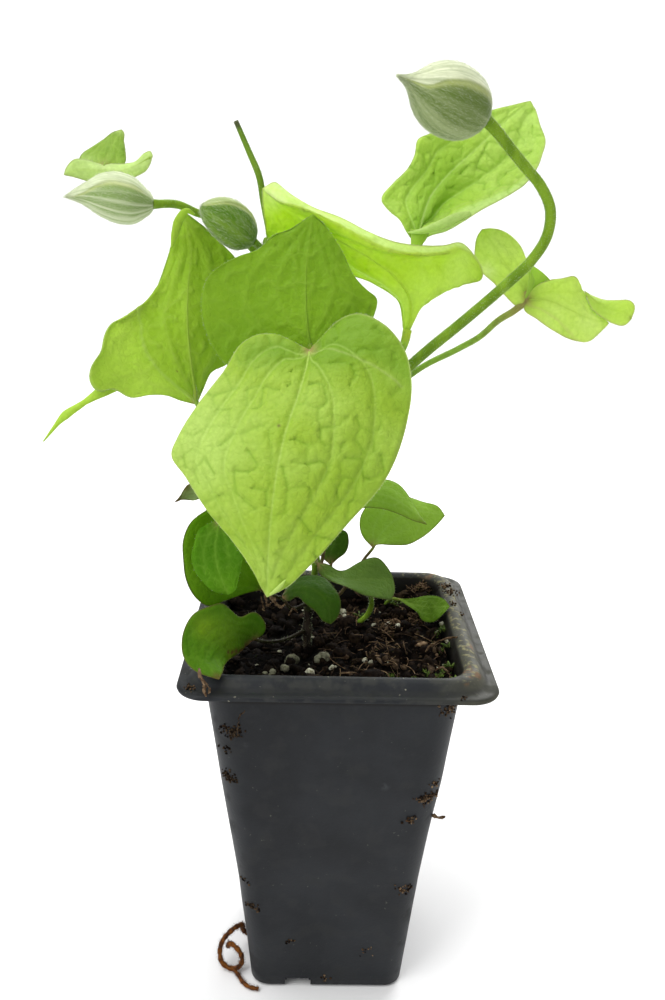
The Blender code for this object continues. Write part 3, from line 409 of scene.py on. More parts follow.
# How each blade is drawn: rows and columns, whether its upper side faces the viewer, its look, how far
# it puckers between the veins, the size of the cells of its net, and how far its margin waves (mm).
BLADES = {
    "leaf_front": (190, 160, True, "front", 0.48, 4.0, 0.35),
    "leaf_standing": (110, 100, False, "standing", 0.28, 3.4, 0.3),
    "leaf_left": (120, 100, False, "left", 0.36, 3.4, 0.2),
    "leaf_arching": (120, 90, False, "arching", 0.38, 3.2, 0.15),
    "leaf_cupped": (140, 120, True, "cupped", 0.50, 3.8, 0.2),
    "leaf_far": (60, 44, True, "far", 0.22, 2.8, 0.15),
    "leaf_far_outer": (60, 44, True, "far", 0.24, 2.8, 0.25),
    "leaf_far_curl": (36, 24, True, "far", 0.06, 2.0, 0.1),
    "leaf_by_bud": (44, 34, True, "by_bud", 0.12, 2.2, 0.05),
    "leaf_by_bud_lip": (60, 40, True, "by_bud", 0.05, 2.4, 0.1),
    "leaf_dark_upper": (70, 54, True, "shade", 0.10, 2.4, 0.1),
    "leaf_dark_inner": (60, 44, True, "shade_inner", 0.08, 2.4, 0.1),
    "leaf_over_rim": (80, 60, True, "rim", 0.16, 2.4, 0.2),
    "leaf_right_upper": (60, 40, True, "lower", 0.08, 2.0, 0.1),
    "leaf_right_lower": (60, 48, True, "lower", 0.10, 2.0, 0.1),
    "leaf_right_mid": (60, 48, True, "dim", 0.06, 2.2, 0.1),
    "leaf_crown": (60, 48, True, "crown", 0.06, 2.2, 0.1),
    "leaf_on_soil": (44, 32, True, "soil_leaf", 0.04, 1.8, 0.05),
    "leaf_back_small": (40, 28, True, "crown", 0.04, 1.8, 0.05),
    "leaf_dry": (30, 20, True, "dry", 0.1, 1.6, 0.3),
}
# Side veins beside the midrib: their shares across, near the joint, halfway and near the tip.
SIDE_VEINS = {
    "leaf_front": [(0.30, 0.43, 0.22), (0.60, 0.74, 0.60), (-0.52, -0.49, -0.28), (-0.74, -0.76, -0.62)],
    "leaf_standing": [(0.16, 0.36, 0.25), (0.30, 0.62, 0.6), (-0.10, -0.30, -0.2), (-0.3, -0.58, -0.5)],
    "leaf_left": [(0.45, 0.5, 0.3), (-0.3, -0.35, -0.25), (-0.78, -0.8, -0.7)],
    "leaf_arching": [(0.3, 0.42, 0.3), (-0.35, -0.45, -0.3)],
    "leaf_cupped": [(0.45, 0.5, 0.4), (-0.48, -0.52, -0.4)],
    "leaf_by_bud": [(0.5, 0.5, 0.5), (-0.45, -0.35, -0.3), (-0.75, -0.65, -0.6)],
    "leaf_by_bud_lip": [],
    "leaf_over_rim": [(0.35, 0.4, 0.3), (-0.33, -0.36, -0.25), (-0.66, -0.7, -0.6)],
}
PLAIN_SIDE_VEINS = [(0.4, 0.5, 0.3), (-0.4, -0.5, -0.3)]
# Creases: the side they turn (1 right, -1 left), how much lighter that side is, how far it stands up (mm),
# and their run, as shares along and across. A lighter side is painted light and a deeper one painted shade.
CREASES = {
    "leaf_front": (1, -0.45, -0.5, [
        (0.05, 0.45), (0.12, 0.52), (0.18, 0.57), (0.25, 0.67), (0.31, 0.77), (0.38, 0.92)]),
    "leaf_arching": (1, 0.7, 0.0, [
        (0.30, 0.99), (0.36, 0.92), (0.49, 0.80), (0.62, 0.74), (0.76, 0.68), (0.90, 0.60), (1.0, 0.40)]),
    "leaf_cupped": (1, 1.0, 0.0, [
        (0.04, 0.20), (0.08, 0.42), (0.14, 0.62), (0.23, 0.76), (0.38, 0.84), (0.57, 0.91), (0.72, 1.0)]),
    "leaf_left": (-1, 0.55, 0.3, [
        (0.0, -0.30), (0.06, -0.50), (0.12, -0.60), (0.23, -0.62), (0.46, -0.62), (0.60, -0.80),
        (0.68, -1.0)]),
    "leaf_far_outer": (1, -0.2, -0.3, [(0.0, 0.6), (0.2, 0.5), (0.4, 0.55), (0.55, 0.75), (0.65, 1.0)]),
}
# Patches on blades: share along, share across, reach (mm), how much lighter (below 0: deeper), and how
# withered. The lighter and deeper tones are mostly painted light and shade, where lobes, brims and folds
# face the lamps or turn from them, and partly the leaf's own tone. The withering is the leaf's own.
PATCHES = {
    "leaf_front": [
        (0.45, -0.95, 10, 0.75, 0), (0.55, -0.6, 7, 0.3, 0), (0.35, 0.95, 8, -0.5, 0),
        (0.6, 0.8, 8, -0.3, 0), (0.17, 0.72, 6, -1.0, 0), (0.10, 0.50, 5, -0.8, 0),
        (0.12, -0.66, 3.5, -0.9, 0), (0.2, -0.82, 3.5, -0.8, 0), (0.92, 0.1, 4, 0.25, 0),
        (0.35, -0.08, 0.3, 0, 0.9), (0.2, -0.02, 0.5, 0, 0.15)],
    "leaf_standing": [(0.1, 0.0, 6, 0.3, 0), (0.5, -0.95, 6, 0.25, 0), (0.75, 0.4, 7, -0.3, 0)],
    "leaf_left": [
        (0.15, -0.95, 5, 0.7, 0), (0.45, -0.8, 5, 0.4, 0), (0.4, 0.6, 9, -0.1, 0),
        (0.7, 0.3, 7, -0.2, 0), (0.1, 0.3, 5, -0.3, 0), (0.94, 0.0, 3, 0.4, 0),
        (0.28, -0.75, 0.15, 0, 0.8), (0.2, -0.4, 0.15, 0, 0.8)],
    "leaf_arching": [
        (0.75, -0.4, 7, -0.15, 0), (0.15, 0.2, 6, 0.25, 0), (0.3, 0.6, 6, 0.3, 0), (0.97, 0.3, 3, 0.7, 0)],
    "leaf_cupped": [
        (0.08, 0.1, 5, -0.8, 0), (0.3, 0.15, 6, -0.7, 0), (0.48, -0.1, 5, -0.35, 0), (0.85, 0.7, 9, 0.4, 0),
        (0.15, -0.9, 4, 0.5, 0)],
    "leaf_far": [(0.56, -0.82, 2.0, 1.0, 0), (0.1, 0.5, 3, -0.3, 0), (0.8, 0.3, 4, 0.2, 0)],
    "leaf_far_outer": [(0.05, 0.0, 2, -0.5, 0.05), (0.3, 0.8, 4, 0.3, 0), (0.75, 0.0, 4, 0.3, 0)],
    "leaf_far_curl": [(0.4, 0.0, 5, -0.4, 0), (0.97, 0.2, 0.5, 0, 0.5)],
    "leaf_by_bud": [
        (0.6, 0.85, 1.6, -0.9, 0), (0.5, -0.15, 1.2, -0.4, 0), (0.55, 0.3, 1.2, 0.25, 0),
        (0.25, -0.9, 1.6, 0.5, 0), (0.97, 0.0, 1.0, 0.6, 0)],
    "leaf_by_bud_lip": [(0.5, 0.2, 14, 0.9, 0)],
    "leaf_dark_upper": [(0.3, -0.9, 4, -0.2, 0), (0.55, -0.85, 4, 0.5, 0), (0.5, -0.2, 5, -0.3, 0)],
    "leaf_dark_inner": [(0.85, 0.2, 4, 0.8, 0), (0.3, 0.3, 4, -0.5, 0)],
    "leaf_over_rim": [
        (0.45, -0.2, 5, 0.5, 0), (0.6, -0.6, 2.5, 0.8, 0), (0.97, 0.0, 1.0, 0, 0.7),
        (0.05, 0.9, 0.9, 0, 0.7), (0.16, 0.97, 1.1, 0, 1.0), (0.28, 1.0, 0.9, 0, 1.0),
        (0.37, 0.80, 0.6, 0, 1.0), (0.43, 0.76, 0.5, 0, 1.0), (0.49, 0.66, 0.45, 0, 0.9),
        (0.46, 0.86, 1.2, 0.9, 0)],
    "leaf_right_upper": [(0.5, 0.6, 5, -0.3, 0), (0.95, 0.0, 1.5, 0.0, 0.3)],
    "leaf_right_lower": [(0.4, -0.2, 5, 0.5, 0)],
    "leaf_dry": [(0.45, -0.7, 2.0, 1.0, 0), (0.6, 0.95, 1.1, -0.5, 0.6), (1.0, 0.0, 1.6, 0, 0.9)],
}
# Leaf looks, in linear colour: body, lighter body, veins, margin, stalk, and the share of light let
# through. The stalks of the shade, rim and crown looks are darkened as painted shade.
LOOKS = {
    "front": (
        (0.34, 0.51, 0.038), (0.55, 0.74, 0.19), (0.19, 0.38, 0.015), (0.50, 0.60, 0.20),
        (0.19, 0.34, 0.04), 0.2),
    "standing": (
        (0.20, 0.38, 0.009), (0.28, 0.49, 0.016), (0.29, 0.47, 0.045), (0.22, 0.38, 0.03),
        (0.19, 0.34, 0.03), 0.25),
    "left": (
        (0.31, 0.51, 0.022), (0.50, 0.72, 0.08), (0.40, 0.54, 0.09), (0.44, 0.58, 0.16),
        (0.20, 0.35, 0.04), 0.3),
    "arching": (
        (0.58, 0.82, 0.018), (0.80, 0.92, 0.46), (0.66, 0.86, 0.12), (0.48, 0.52, 0.18),
        (0.26, 0.46, 0.05), 0.4),
    "cupped": (
        (0.46, 0.67, 0.080), (0.64, 0.82, 0.30), (0.26, 0.46, 0.02), (0.50, 0.58, 0.20),
        (0.22, 0.38, 0.05), 0.3),
    "far": (
        (0.63, 0.82, 0.14), (0.82, 0.93, 0.42), (0.44, 0.64, 0.06), (0.50, 0.48, 0.20),
        (0.22, 0.36, 0.05), 0.35),
    "by_bud": (
        (0.21, 0.38, 0.012), (0.74, 0.91, 0.38), (0.46, 0.64, 0.12), (0.34, 0.40, 0.14),
        (0.20, 0.35, 0.04), 0.3),
    "shade": (
        (0.105, 0.27, 0.003), (0.17, 0.36, 0.012), (0.18, 0.37, 0.025), (0.10, 0.06, 0.02),
        (0.018, 0.014, 0.007), 0.2),
    "shade_inner": (
        (0.070, 0.225, 0.003), (0.13, 0.33, 0.008), (0.30, 0.52, 0.06), (0.10, 0.27, 0.008),
        (0.05, 0.12, 0.010), 0.2),
    "rim": (
        (0.045, 0.15, 0.003), (0.17, 0.29, 0.010), (0.14, 0.27, 0.025), (0.12, 0.08, 0.03),
        (0.015, 0.011, 0.006), 0.15),
    "lower": (
        (0.27, 0.48, 0.042), (0.36, 0.60, 0.075), (0.38, 0.58, 0.12), (0.12, 0.09, 0.03),
        (0.11, 0.08, 0.04), 0.15),
    "dim": (
        (0.10, 0.19, 0.030), (0.16, 0.28, 0.05), (0.19, 0.30, 0.06), (0.09, 0.08, 0.03),
        (0.07, 0.06, 0.03), 0.1),
    "crown": (
        (0.030, 0.088, 0.003), (0.050, 0.125, 0.006), (0.08, 0.15, 0.02), (0.07, 0.06, 0.02),
        (0.020, 0.016, 0.008), 0.1),
    "soil_leaf": (
        (0.08, 0.18, 0.005), (0.15, 0.30, 0.015), (0.28, 0.44, 0.07), (0.14, 0.24, 0.03),
        (0.12, 0.20, 0.02), 0.12),
    "dry": (
        (0.17, 0.25, 0.08), (0.42, 0.54, 0.24), (0.10, 0.08, 0.04), (0.10, 0.05, 0.03),
        (0.10, 0.08, 0.04), 0.1),
}
# Other linear colours. A pair is the darker and the lighter tone of something patchy.
WITHERED = (0.10, 0.045, 0.018)
JOINT = (0.42, 0.24, 0.13)
LEAF_GLOW = (0.70, 0.90, 0.10)
LEAF_HAIR = (0.62, 0.72, 0.45)
SEPAL_LIP = (0.50, 0.56, 0.20)
BUD_HAIR = (0.66, 0.72, 0.50)
STEM_GREENS = ((0.125, 0.235, 0.010), (0.20, 0.34, 0.020))
STEM_SHADED_BARK = ((0.014, 0.011, 0.008), (0.045, 0.034, 0.022))
STEM_UPPER_TINT = (0.08, 0.15, 0.025)
STEM_CUT = (0.07, 0.08, 0.03)
STEM_HAIR = (0.55, 0.66, 0.38)
POT_BLACKS = ((0.0095, 0.0107, 0.0127), (0.0165, 0.0185, 0.0215))
POT_DUST = (0.038, 0.039, 0.038)
POT_SPECKS = (0.30, 0.29, 0.22)
POT_SCUFF = (0.085, 0.095, 0.100)
POT_CHALK = (0.27, 0.25, 0.13)
POT_RUST = (0.14, 0.07, 0.03)
RIM_GRIME = (0.050, 0.051, 0.045)
RIM_POWDER = (0.15, 0.145, 0.085)
RIM_GROOVE_SHADE = (0.005, 0.006, 0.006)
INNER_WALL_DARK = (0.0040, 0.0030, 0.0020)
SOIL_BROWNS = ((0.0012, 0.0008, 0.0006), (0.007, 0.0042, 0.0028))
SOIL_SHADE = (0.0006, 0.0005, 0.0003)
PEAT_BROWNS = ((0.0018, 0.0011, 0.0008), (0.010, 0.0055, 0.0035))
BARK_BROWNS = ((0.08, 0.042, 0.022), (0.32, 0.22, 0.13))
CRUMB_SHADE = (0.0010, 0.0008, 0.0005)
PERLITE_STAINED = ((0.018, 0.018, 0.009), (0.105, 0.105, 0.055))
PERLITE_CLEAN = ((0.20, 0.18, 0.10), (0.62, 0.61, 0.48))
MOSS_GREENS = ((0.022, 0.055, 0.005), (0.13, 0.20, 0.022))
ROOT_BROWNS = ((0.035, 0.010, 0.002), (0.20, 0.065, 0.006))
ROOT_HAIR = (0.11, 0.035, 0.008)
FLOOR_WHITES = ((0.88, 0.88, 0.88), (0.90, 0.90, 0.90))

# The root beside the pot.
ROOT_RADIUS = 0.55
BRANCH_RADIUS = 0.42
ROOT_HAIRS_PER_MM = 60
ROOT_LOOP = [
    (-16.2, -2.5, 1.3), (-18.6, -3.2, 1.6), (-20.4, -4.6, 4), (-20.9, -7.5, 8.4), (-22.5, -9.5, 9),
    (-24.9, -11, 7), (-25.6, -11.8, 4.2), (-25, -12.6, 2), (-23.2, -13.2, 0.9), (-21, -13.4, 1.5),
    (-20.2, -13.4, 3.8), (-21.2, -12.8, 6), (-23, -11.6, 6.6), (-23.8, -10, 4.4),
]
ROOT_BRANCH = [(-22.5, -13.3, 1), (-21, -15, 0.7), (-19.8, -17, 0.6), (-18.2, -18.4, 0.6), (-16, -19, 0.6)]

# Narrow drawn-out, rolled or folded parts of leaves: way, half widths along it (mm), turn from flat at
# its two ends (radians), and how much lighter (below 0: deeper), as painted light and shade on them.
STRIPS = {
    "leaf_front": [
        ([(-13.4, -31.0, 104.8), (-12.4, -31.3, 105.6), (-11.4, -31.2, 106.6), (-10.6, -30.6, 107.6)],
         (0.15, 0.45, 0.45, 0.1), (0.3, 0.3), 0.9),
    ],
    "leaf_left": [
        ([(-44.0, -5.2, 139.6), (-46.5, -6.4, 138.4), (-49.2, -8.4, 136.8), (-52, -9.5, 135),
          (-55, -10.5, 133), (-57.5, -11, 130), (-59, -11.5, 128)],
         (1.0, 1.5, 1.3, 0.9, 0.6, 0.75, 0.95, 0.55, 0.35, 0.1), (0.2, 0.5), 0.8),
        ([(-34.5, -0.8, 165.0), (-33.6, -1.0, 168.0), (-32.6, -1.2, 170.4), (-31.2, -1.2, 171.8),
          (-30.0, -0.6, 171.2)],
         (0.2, 0.7, 0.95, 0.9, 0.3), (0.2, 0.7), 0.5),
    ],
    "leaf_cupped": [
        ([(15.6, 14.6, 169.2), (15.5, 14.5, 168.0), (15.2, 14.5, 167.0), (15.0, 14.5, 165.5),
          (15.0, 14.6, 163.5)],
         (2.0, 1.7, 1.3, 1.0, 0.9), (0.1, 0.1), -0.3),
        ([(13.2, 15.3, 168.6), (14.5, 14.0, 168.7), (16.5, 13.4, 169.1), (18.5, 13.3, 169.8),
          (20.5, 13.3, 170.6), (23.0, 13.8, 171.8), (26.0, 14.4, 172.9)],
         (0.1, 0.5, 0.8, 1.0, 1.1, 0.9, 0.4), (0.0, 0.0), 0.9),
    ],
    "leaf_far": [
        ([(39.6, 17.9, 155.3), (41.0, 18.9, 157.3), (42.4, 19.8, 159.1), (43.6, 20.3, 160.8)],
         (0.4, 1.5, 2.7, 3.6), (0.0, 0.0), -1.0),
        ([(39.8, 16.8, 155.4), (40.6, 16.9, 157.3), (40.9, 17.1, 159.3), (40.2, 17.4, 161.0)],
         (0.3, 0.65, 0.75, 0.2), (0.5, 0.2), -1.0),
    ],
}
# How strongly and how far (mm) the reddish joint of a leaf colours its stalk, by look, and for the others.
JOINT_TINTS = {"far": (0.95, 9.0), "shade": (0.5, 3.0)}
PLAIN_JOINT = (0.3, 2.0)

# Stalks that are stout near the blade: their thickness there, as shares of the rest, and the others'.
STOUT_STALKS = {"far": (1.05, 1.3, 1.15), "arching": (1.6, 1.5, 1.1)}
PLAIN_STALK = (0.35, 0.8, 0.85)

# Looks of the pale leaves and of the middle ones. The rest are dark leaves.
PALE_LOOKS = ["front", "arching", "cupped", "far", "by_bud"]
MID_LOOKS = ["standing", "left"]
# Looks of upper sides, where the veins lie in grooves, with painted shade beside and between them.
# Elsewhere they are paler than the leaf.
GROOVED_LOOKS = ["front", "cupped"]
# Fine hairs along leaf margins, fewer on the lower leaves.
FRINGE_PER_MM = 5.0
LOWER_FRINGE_PER_MM = 1.25
FRINGE_LENGTH = 0.4
FRINGE_WIDTH = 0.045

BUD_ROWS = 80
BUD_SIDES = 144
# How each bud is drawn: ribs round it, their depth as a share of the radius, how much paler they are, and
# in linear colour its green, its silver hairs, and the whiter hairs of the sepal that lies over it, which
# are partly painted light on the bud's top. The middle bud's colours are darkened as painted shade.
BUD_LOOKS = {
    "bud_large": (9, 0.010, 0.20, (0.12, 0.18, 0.040), (0.30, 0.36, 0.17), (0.72, 0.76, 0.54)),
    "bud_left": (17, 0.028, 0.42, (0.23, 0.33, 0.11), (0.56, 0.63, 0.40), (0.64, 0.70, 0.47)),
    "bud_middle": (9, 0.012, 0.25, (0.07, 0.16, 0.008), (0.15, 0.26, 0.030), (0.42, 0.50, 0.22)),
}
# The edge of the upper sepal: share along the bud and angle round it, 180 on top and 270 to the front.
SEPAL_EDGES = {
    "bud_large": [(0.0, 232), (0.37, 236), (0.53, 240), (0.67, 248), (0.79, 266), (0.9, 262), (1.0, 258)],
    "bud_left": [(0.0, 225), (0.3, 228), (0.6, 236), (0.8, 262), (1.0, 300)],
    "bud_middle": [(0.0, 192), (0.5, 200), (0.8, 222), (1.0, 250)],
}
SEPAL_STEP = 0.3
WOOL_DENSITY = 200
WOOL_LENGTH = 1.0
WOOL_WIDTH = 0.028

# Heights where leaf and flower stalks leave the main stem, which is swollen there.
NODE_HEIGHTS = [82.4, 88.0, 92.0, 99.0, 118.5, 124.5, 131.0, 137.0, 142.5, 165.0]

# Litter on the soil: how many of each kind.
CRUMBS = 1500
BARK_LUMPS = 170
BARK_CHIPS = 110
FIBRES = 170
PERLITE_BITS = 26
# Grains of perlite: x, y, size, and how white. Then tufts of moss: x, y and size.
PERLITE = [
    (-10, -7, 1.6, 0.1), (-3, -7.5, 1.6, 0.2), (-5.5, -13, 1.4, 1.0), (-1, -12, 0.8, 1.0),
    (-12.5, -3, 1.0, 0.25), (-13.5, -13, 1.1, 0.2), (-15, -15, 0.9, 0.2), (-11, -13.5, 1.1, 0.2),
    (6.2, -8.6, 0.8, 0.9), (7.4, -10.3, 0.7, 0.5), (12.5, 10, 1.0, 1.0), (14.5, 8, 0.8, 0.8),
    (2, 18.5, 1.4, 0.6), (24.6, 6, 0.8, 0.9), (23.6, 5, 0.6, 0.8), (24.4, -4, 0.6, 0.7),
    (-22.5, -1.5, 0.9, 0.3), (2.5, 15.5, 1.1, 0.6), (-5, 4.5, 0.6, 0.3), (9, 10, 0.6, 0.9),
]
MOSS = [
    (11.5, -14, 1.3), (16, -15.5, 1.0), (19.5, -14, 1.1), (21.5, -14.5, 1.3), (23, -13, 1.2),
    (24, 4, 1.3), (24, 15, 1.0), (23.5, -5, 0.9), (6, 13.5, 0.5),
]

# Tufts of small leaves: where each stands, the half width along a leaf, and its flat section round it.
SEEDLINGS = [
    (24, -13.5, 81), (24.5, -18.5, 80.5), (24.8, -6, 82), (24.8, 2, 82), (14, 21.5, 80), (15.5, 20, 80),
    (6, 13.5, 80),
]
SEEDLING_WIDTHS = (0.12, 0.15, 0.25, 0.4, 0.45, 0.4, 0.25, 0.05)
SEEDLING_SECTION = (1, 0.5, 0.2, 0.5, 1, 0.5, 0.2, 0.5)
# Loose pale fibres: x, y, spread and count.
FLUFF = [(13, 9, 3.5, 130), (19, 15, 2.5, 60), (21, 24, 3.0, 90), (3.5, 15, 2.0, 50), (10, -4, 4.0, 50)]
# Dead brown scraps: the way and half width of each. Two hang from a leaf over the rim, and a straw and a
# bud scale, the last two, stick to the front wall.
SCRAPS = [
    ([(-15.5, -9, 95.2), (-15.2, -9.3, 94), (-14.8, -9.5, 92.8), (-14.1, -9.4, 93.5)], 0.28),
    ([(-14.5, -9, 95.2), (-13.6, -9.4, 94), (-12.8, -9.5, 93), (-12, -9.5, 92.5), (-11.3, -9.5, 93.3)],
     0.34),
    ([(-13.4, -9.4, 94.6), (-13.2, -9.6, 93.2), (-12.2, -9.2, 92.6)], 0.28),
    ([(-16.3, -9, 94.6), (-15.9, -9.2, 93), (-15.7, -9.4, 91.4)], 0.2),
    ([(-10.5, -5, 88.5), (-9.5, -5.5, 90.5), (-8.6, -5.5, 89.5)], 0.25),
    ([(26, -8, 85.6), (24, -7.5, 85), (21, -6.5, 83), (19.5, -6, 81)], 0.3),
    ([(22, -20, 79), (23, -19.5, 82.5), (21.5, -19, 84), (20, -18.5, 83)], 0.25),
    ([(-26.8, -31.2, 89.3), (-26.4, -31.9, 88), (-25.8, -32.3, 86.6), (-25.6, -32.5, 85.2),
      (-25.4, -32.5, 84.2)], 0.46),
    ([(-25.9, -32.2, 87.4), (-25, -32.4, 86.3), (-24.6, -32.5, 85.4), (-24.9, -32.6, 84.8)], 0.26),
    ([(-19.9, -26.6, 72.2), (-19.8, -27.0, 74.5), (-19.4, -27.3, 76.6), (-18.3, -27.4, 78.4)], 0.14),
    ([(21.3, -19.4, 48.9), (22.3, -19.8, 48.5), (23.3, -19.9, 48.5), (24.1, -19.9, 48.8)], 0.5),
]
SCRAP_STEPS = 24
SCRAP_SECTION = (1.0, 0.75, 0.3, 0.75, 1.0, 0.75, 0.3, 0.75)
# Pale scuffs on the front wall: place and radius.
SCUFFS = [
    (10.5, -25.0, 58.5, 2.0), (9.0, -25.2, 60.0, 1.2), (-18.3, -26.0, 69.0, 1.6), (-17.2, -25.4, 64.0, 1.2),
]
# Soil stuck on the pot: on its front wall (across and up), and on its rim (place), each with spread and
# count.
WALL_DIRT = [
    (-21.0, 72, 1.1, 75), (-22.0, 60, 0.9, 60), (19.6, 55.5, 1.0, 70), (23.0, 78, 1.2, 60),
    (-17.4, 24, 0.8, 30), (-9.1, 14.3, 0.5, 14), (-0.5, 3, 0.9, 12), (8.5, 11.5, 0.8, 10),
    (16.3, 50, 0.9, 22), (16.3, 30, 1.0, 34), (-22.5, 67, 0.8, 16), (20.8, 59, 0.7, 18),
    (-19.0, 31, 0.6, 8),
]
RIM_DIRT = [
    (-29.0, -28.3, 83.9, 0.8, 22), (-26.6, -26.4, 86.0, 0.5, 10), (24.0, -30.8, 83.8, 0.6, 8),
    (28.6, 4.0, 85.6, 0.8, 8), (27.7, 15.5, 85.95, 1.2, 60), (27.0, 19.5, 85.95, 1.0, 50),
    (27.4, 9.0, 86.0, 0.7, 16),
]

# The floor and the wall behind, in metres: half width, ends of the flat floor, radius of the curve up to
# the wall, and the wall's top.
FLOOR_HALF_WIDTH = 1.8
FLOOR_FRONT = -1.2
FLOOR_BACK = 0.9
FLOOR_CURVE = 0.5
WALL_TOP = 2.2
# Studio light: the even light of the surroundings, and soft lamps: place and target (m), size (m), and
# power (W).
WORLD_LIGHT = 0.54
LAMPS = [
    ("top", (-0.20, -0.10, 0.95), (0.0, 0.0, 0.10), 0.7, 5.6),
    ("key", (-0.50, -0.45, 0.55), (0.0, 0.0, 0.13), 0.4, 2.4),
    ("back", (0.30, 0.55, 0.50), (0.0, 0.0, 0.15), 0.4, 3.4),
    ("wall", (0.0, 0.55, 1.0), (0.0, 1.35, 0.25), 0.7, 8.0),
]


def unit(vectors):
    """The same directions with length one."""
    return vectors / np.maximum(np.linalg.norm(vectors, axis=-1, keepdims=True), 1e-9)


def fade(gap, reach):
    """1 at no distance, fading to 0 past the reach."""
    return np.exp(-(gap / reach) ** 2)


def step_up(value, low, high):
    """From 0 to 1 as a value passes from low to high, smoothly."""
    share = np.clip((value - low) / (high - low), 0, 1)
    return share * share * (3 - 2 * share)


def spline(points, knots, at):
    """A smooth curve through points, with slopes from their neighbours, read at the given knots."""
    step = np.diff(knots)[:, None]
    slope = np.diff(points, axis=0) / step
    tangent = np.empty_like(points)
    tangent[0] = slope[0]
    tangent[-1] = slope[-1]
    tangent[1:-1] = (slope[:-1] * step[1:] + slope[1:] * step[:-1]) / (step[1:] + step[:-1])
    cell = np.clip(np.searchsorted(knots, at, side="right") - 1, 0, len(knots) - 2)
    width = step[cell]
    part = (at - knots[cell])[:, None] / width
    start, end = points[cell], points[cell + 1]
    leaving, arriving = tangent[cell], tangent[cell + 1]
    return ((2 * part**3 - 3 * part**2 + 1) * start + (part**3 - 2 * part**2 + part) * width * leaving
            + (3 * part**2 - 2 * part**3) * end + (part**3 - part**2) * width * arriving)


def distances(points):
    """Distance along a line at each of its points."""
    return np.concatenate([[0.0], np.cumsum(np.linalg.norm(np.diff(points, axis=0), axis=1))])


def smooth_line(points, shares):
    """The smooth line through points, read at shares of its length."""
    points = np.array(points, dtype=float)
    knots = distances(points)
    fine = spline(points, knots, np.linspace(0.0, knots[-1], CURVE_STEPS))
    run = distances(fine)
    return np.stack([np.interp(shares * run[-1], run, fine[:, axis]) for axis in range(3)], axis=1)


def add_object(name, data):
    """A new object in the scene, for a mesh, a lamp or a camera."""
    item = bpy.data.objects.new(name, data)
    bpy.context.scene.collection.objects.link(item)
    return item


class Shape:
    """Points, faces and a value or more at each point, gathered for one mesh."""

    def __init__(self):
        self.points = []
        self.faces = []
        self.values = []
        self.count = 0

    def add(self, points, faces, **values):
        """Add points, faces that count from the first of them, and a value for all or one for each."""
        points = np.asarray(points, dtype=float).reshape(-1, 3)
        faces = faces.tolist() if isinstance(faces, np.ndarray) else faces
        self.points.append(points)
        self.faces += [[index + self.count for index in face] for face in faces]
        self.values.append((len(points), values))
        self.count += len(points)

    def object(self, name, material):
        """The mesh object, in metres, with each kind of value as an attribute of its points."""
        mesh = bpy.data.meshes.new(name)
        mesh.from_pydata((np.concatenate(self.points) * MM).tolist(), [], self.faces)
        for key in sorted({key for _, values in self.values for key in values}):
            data = np.concatenate([np.broadcast_to(np.ravel(values.get(key, 0.0)), count)
                                   for count, values in self.values])
            mesh.attributes.new(key, "FLOAT", "POINT").data.foreach_set("value", data.astype(np.float32))
        mesh.shade_smooth()
        mesh.materials.append(material)
        return add_object(name, mesh)


def place(item, slot, *nodes):
    """File a finished piece: it rides on the one body and stands for its CAD nodes."""
    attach(item, "root")
    if nodes:
        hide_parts(*nodes)


def grid_faces(rows, columns, wrap=False):
    """Quads of a grid of points, row by row. A wrapped grid closes round its columns."""
    index = np.arange(rows * columns).reshape(rows, columns)
    after = np.roll(index, -1, axis=1)
    quads = np.stack([index[:-1], after[:-1], after[1:], index[1:]], axis=-1)
    if not wrap:
        quads = quads[:, :-1]
    return quads.reshape(-1, 4)


def end_faces(rows, sides):
    """One face to close each end of a wrapped grid."""
    return [list(range(sides))[::-1], [(rows - 1) * sides + index for index in range(sides)]]


def closed_faces(rows, sides):
    """Faces of a wrapped grid that is closed at both ends."""
    return grid_faces(rows, sides, wrap=True).tolist() + end_faces(rows, sides)


def tube_rings(line, radii, sides):
    """Rings of points round a line, with the outward direction at each."""
    ahead = unit(np.gradient(line, axis=0))
    side = unit(np.cross(ahead[0], SEAM_WAY))
    frames = []
    for direction in ahead:
        side = unit(side - direction * np.dot(side, direction))
        frames.append((side, np.cross(direction, side)))
    frames = np.array(frames)
    angle = (np.arange(sides) * 2 * math.pi / sides)[None, :, None]
    out = np.cos(angle) * frames[:, None, 0] + np.sin(angle) * frames[:, None, 1]
    return line[:, None] + out * radii.reshape(len(line), -1, 1), out


def add_tube(shape, line, radii, sides, **values):
    """A closed tube, with a radius at each point of its line or at each of its sides too. Returns its
    points and outward directions."""
    rings, out = tube_rings(line, radii, sides)
    spread = {key: np.repeat(value, sides) if np.ndim(value) else value for key, value in values.items()}
    shape.add(rings, closed_faces(len(line), sides), **spread)
    return rings, out


def add_hairs(shape, roots, ways, length, width, draw):
    """Thin three-cornered hairs from points, each along its own way."""
    ways = unit(ways)
    across = unit(np.cross(ways, draw.normal(size=roots.shape))) * width / 2
    size = length * draw.uniform(0.55, 1.2, (len(roots), 1))
    corners = np.stack([roots - across, roots + across, roots + ways * size], axis=1)
    shape.add(corners.reshape(-1, 3), np.arange(3 * len(roots)).reshape(-1, 3))


def scatter_on(rings, out, count, draw):
    """Random points of a ring surface, with the outward and onward directions there."""
    rows, sides = rings.shape[:2]
    row = draw.integers(0, rows - 1, count)
    side = draw.integers(0, sides, count)
    part = draw.uniform(0, 1, (count, 1))
    turn = draw.uniform(0, 1, (count, 1))
    after = (side + 1) % sides
    near = rings[row, side] * (1 - turn) + rings[row, after] * turn
    far = rings[row + 1, side] * (1 - turn) + rings[row + 1, after] * turn
    outward = unit(out[row, side] * (1 - turn) + out[row, after] * turn)
    return near * (1 - part) + far * part, outward, unit(far - near)


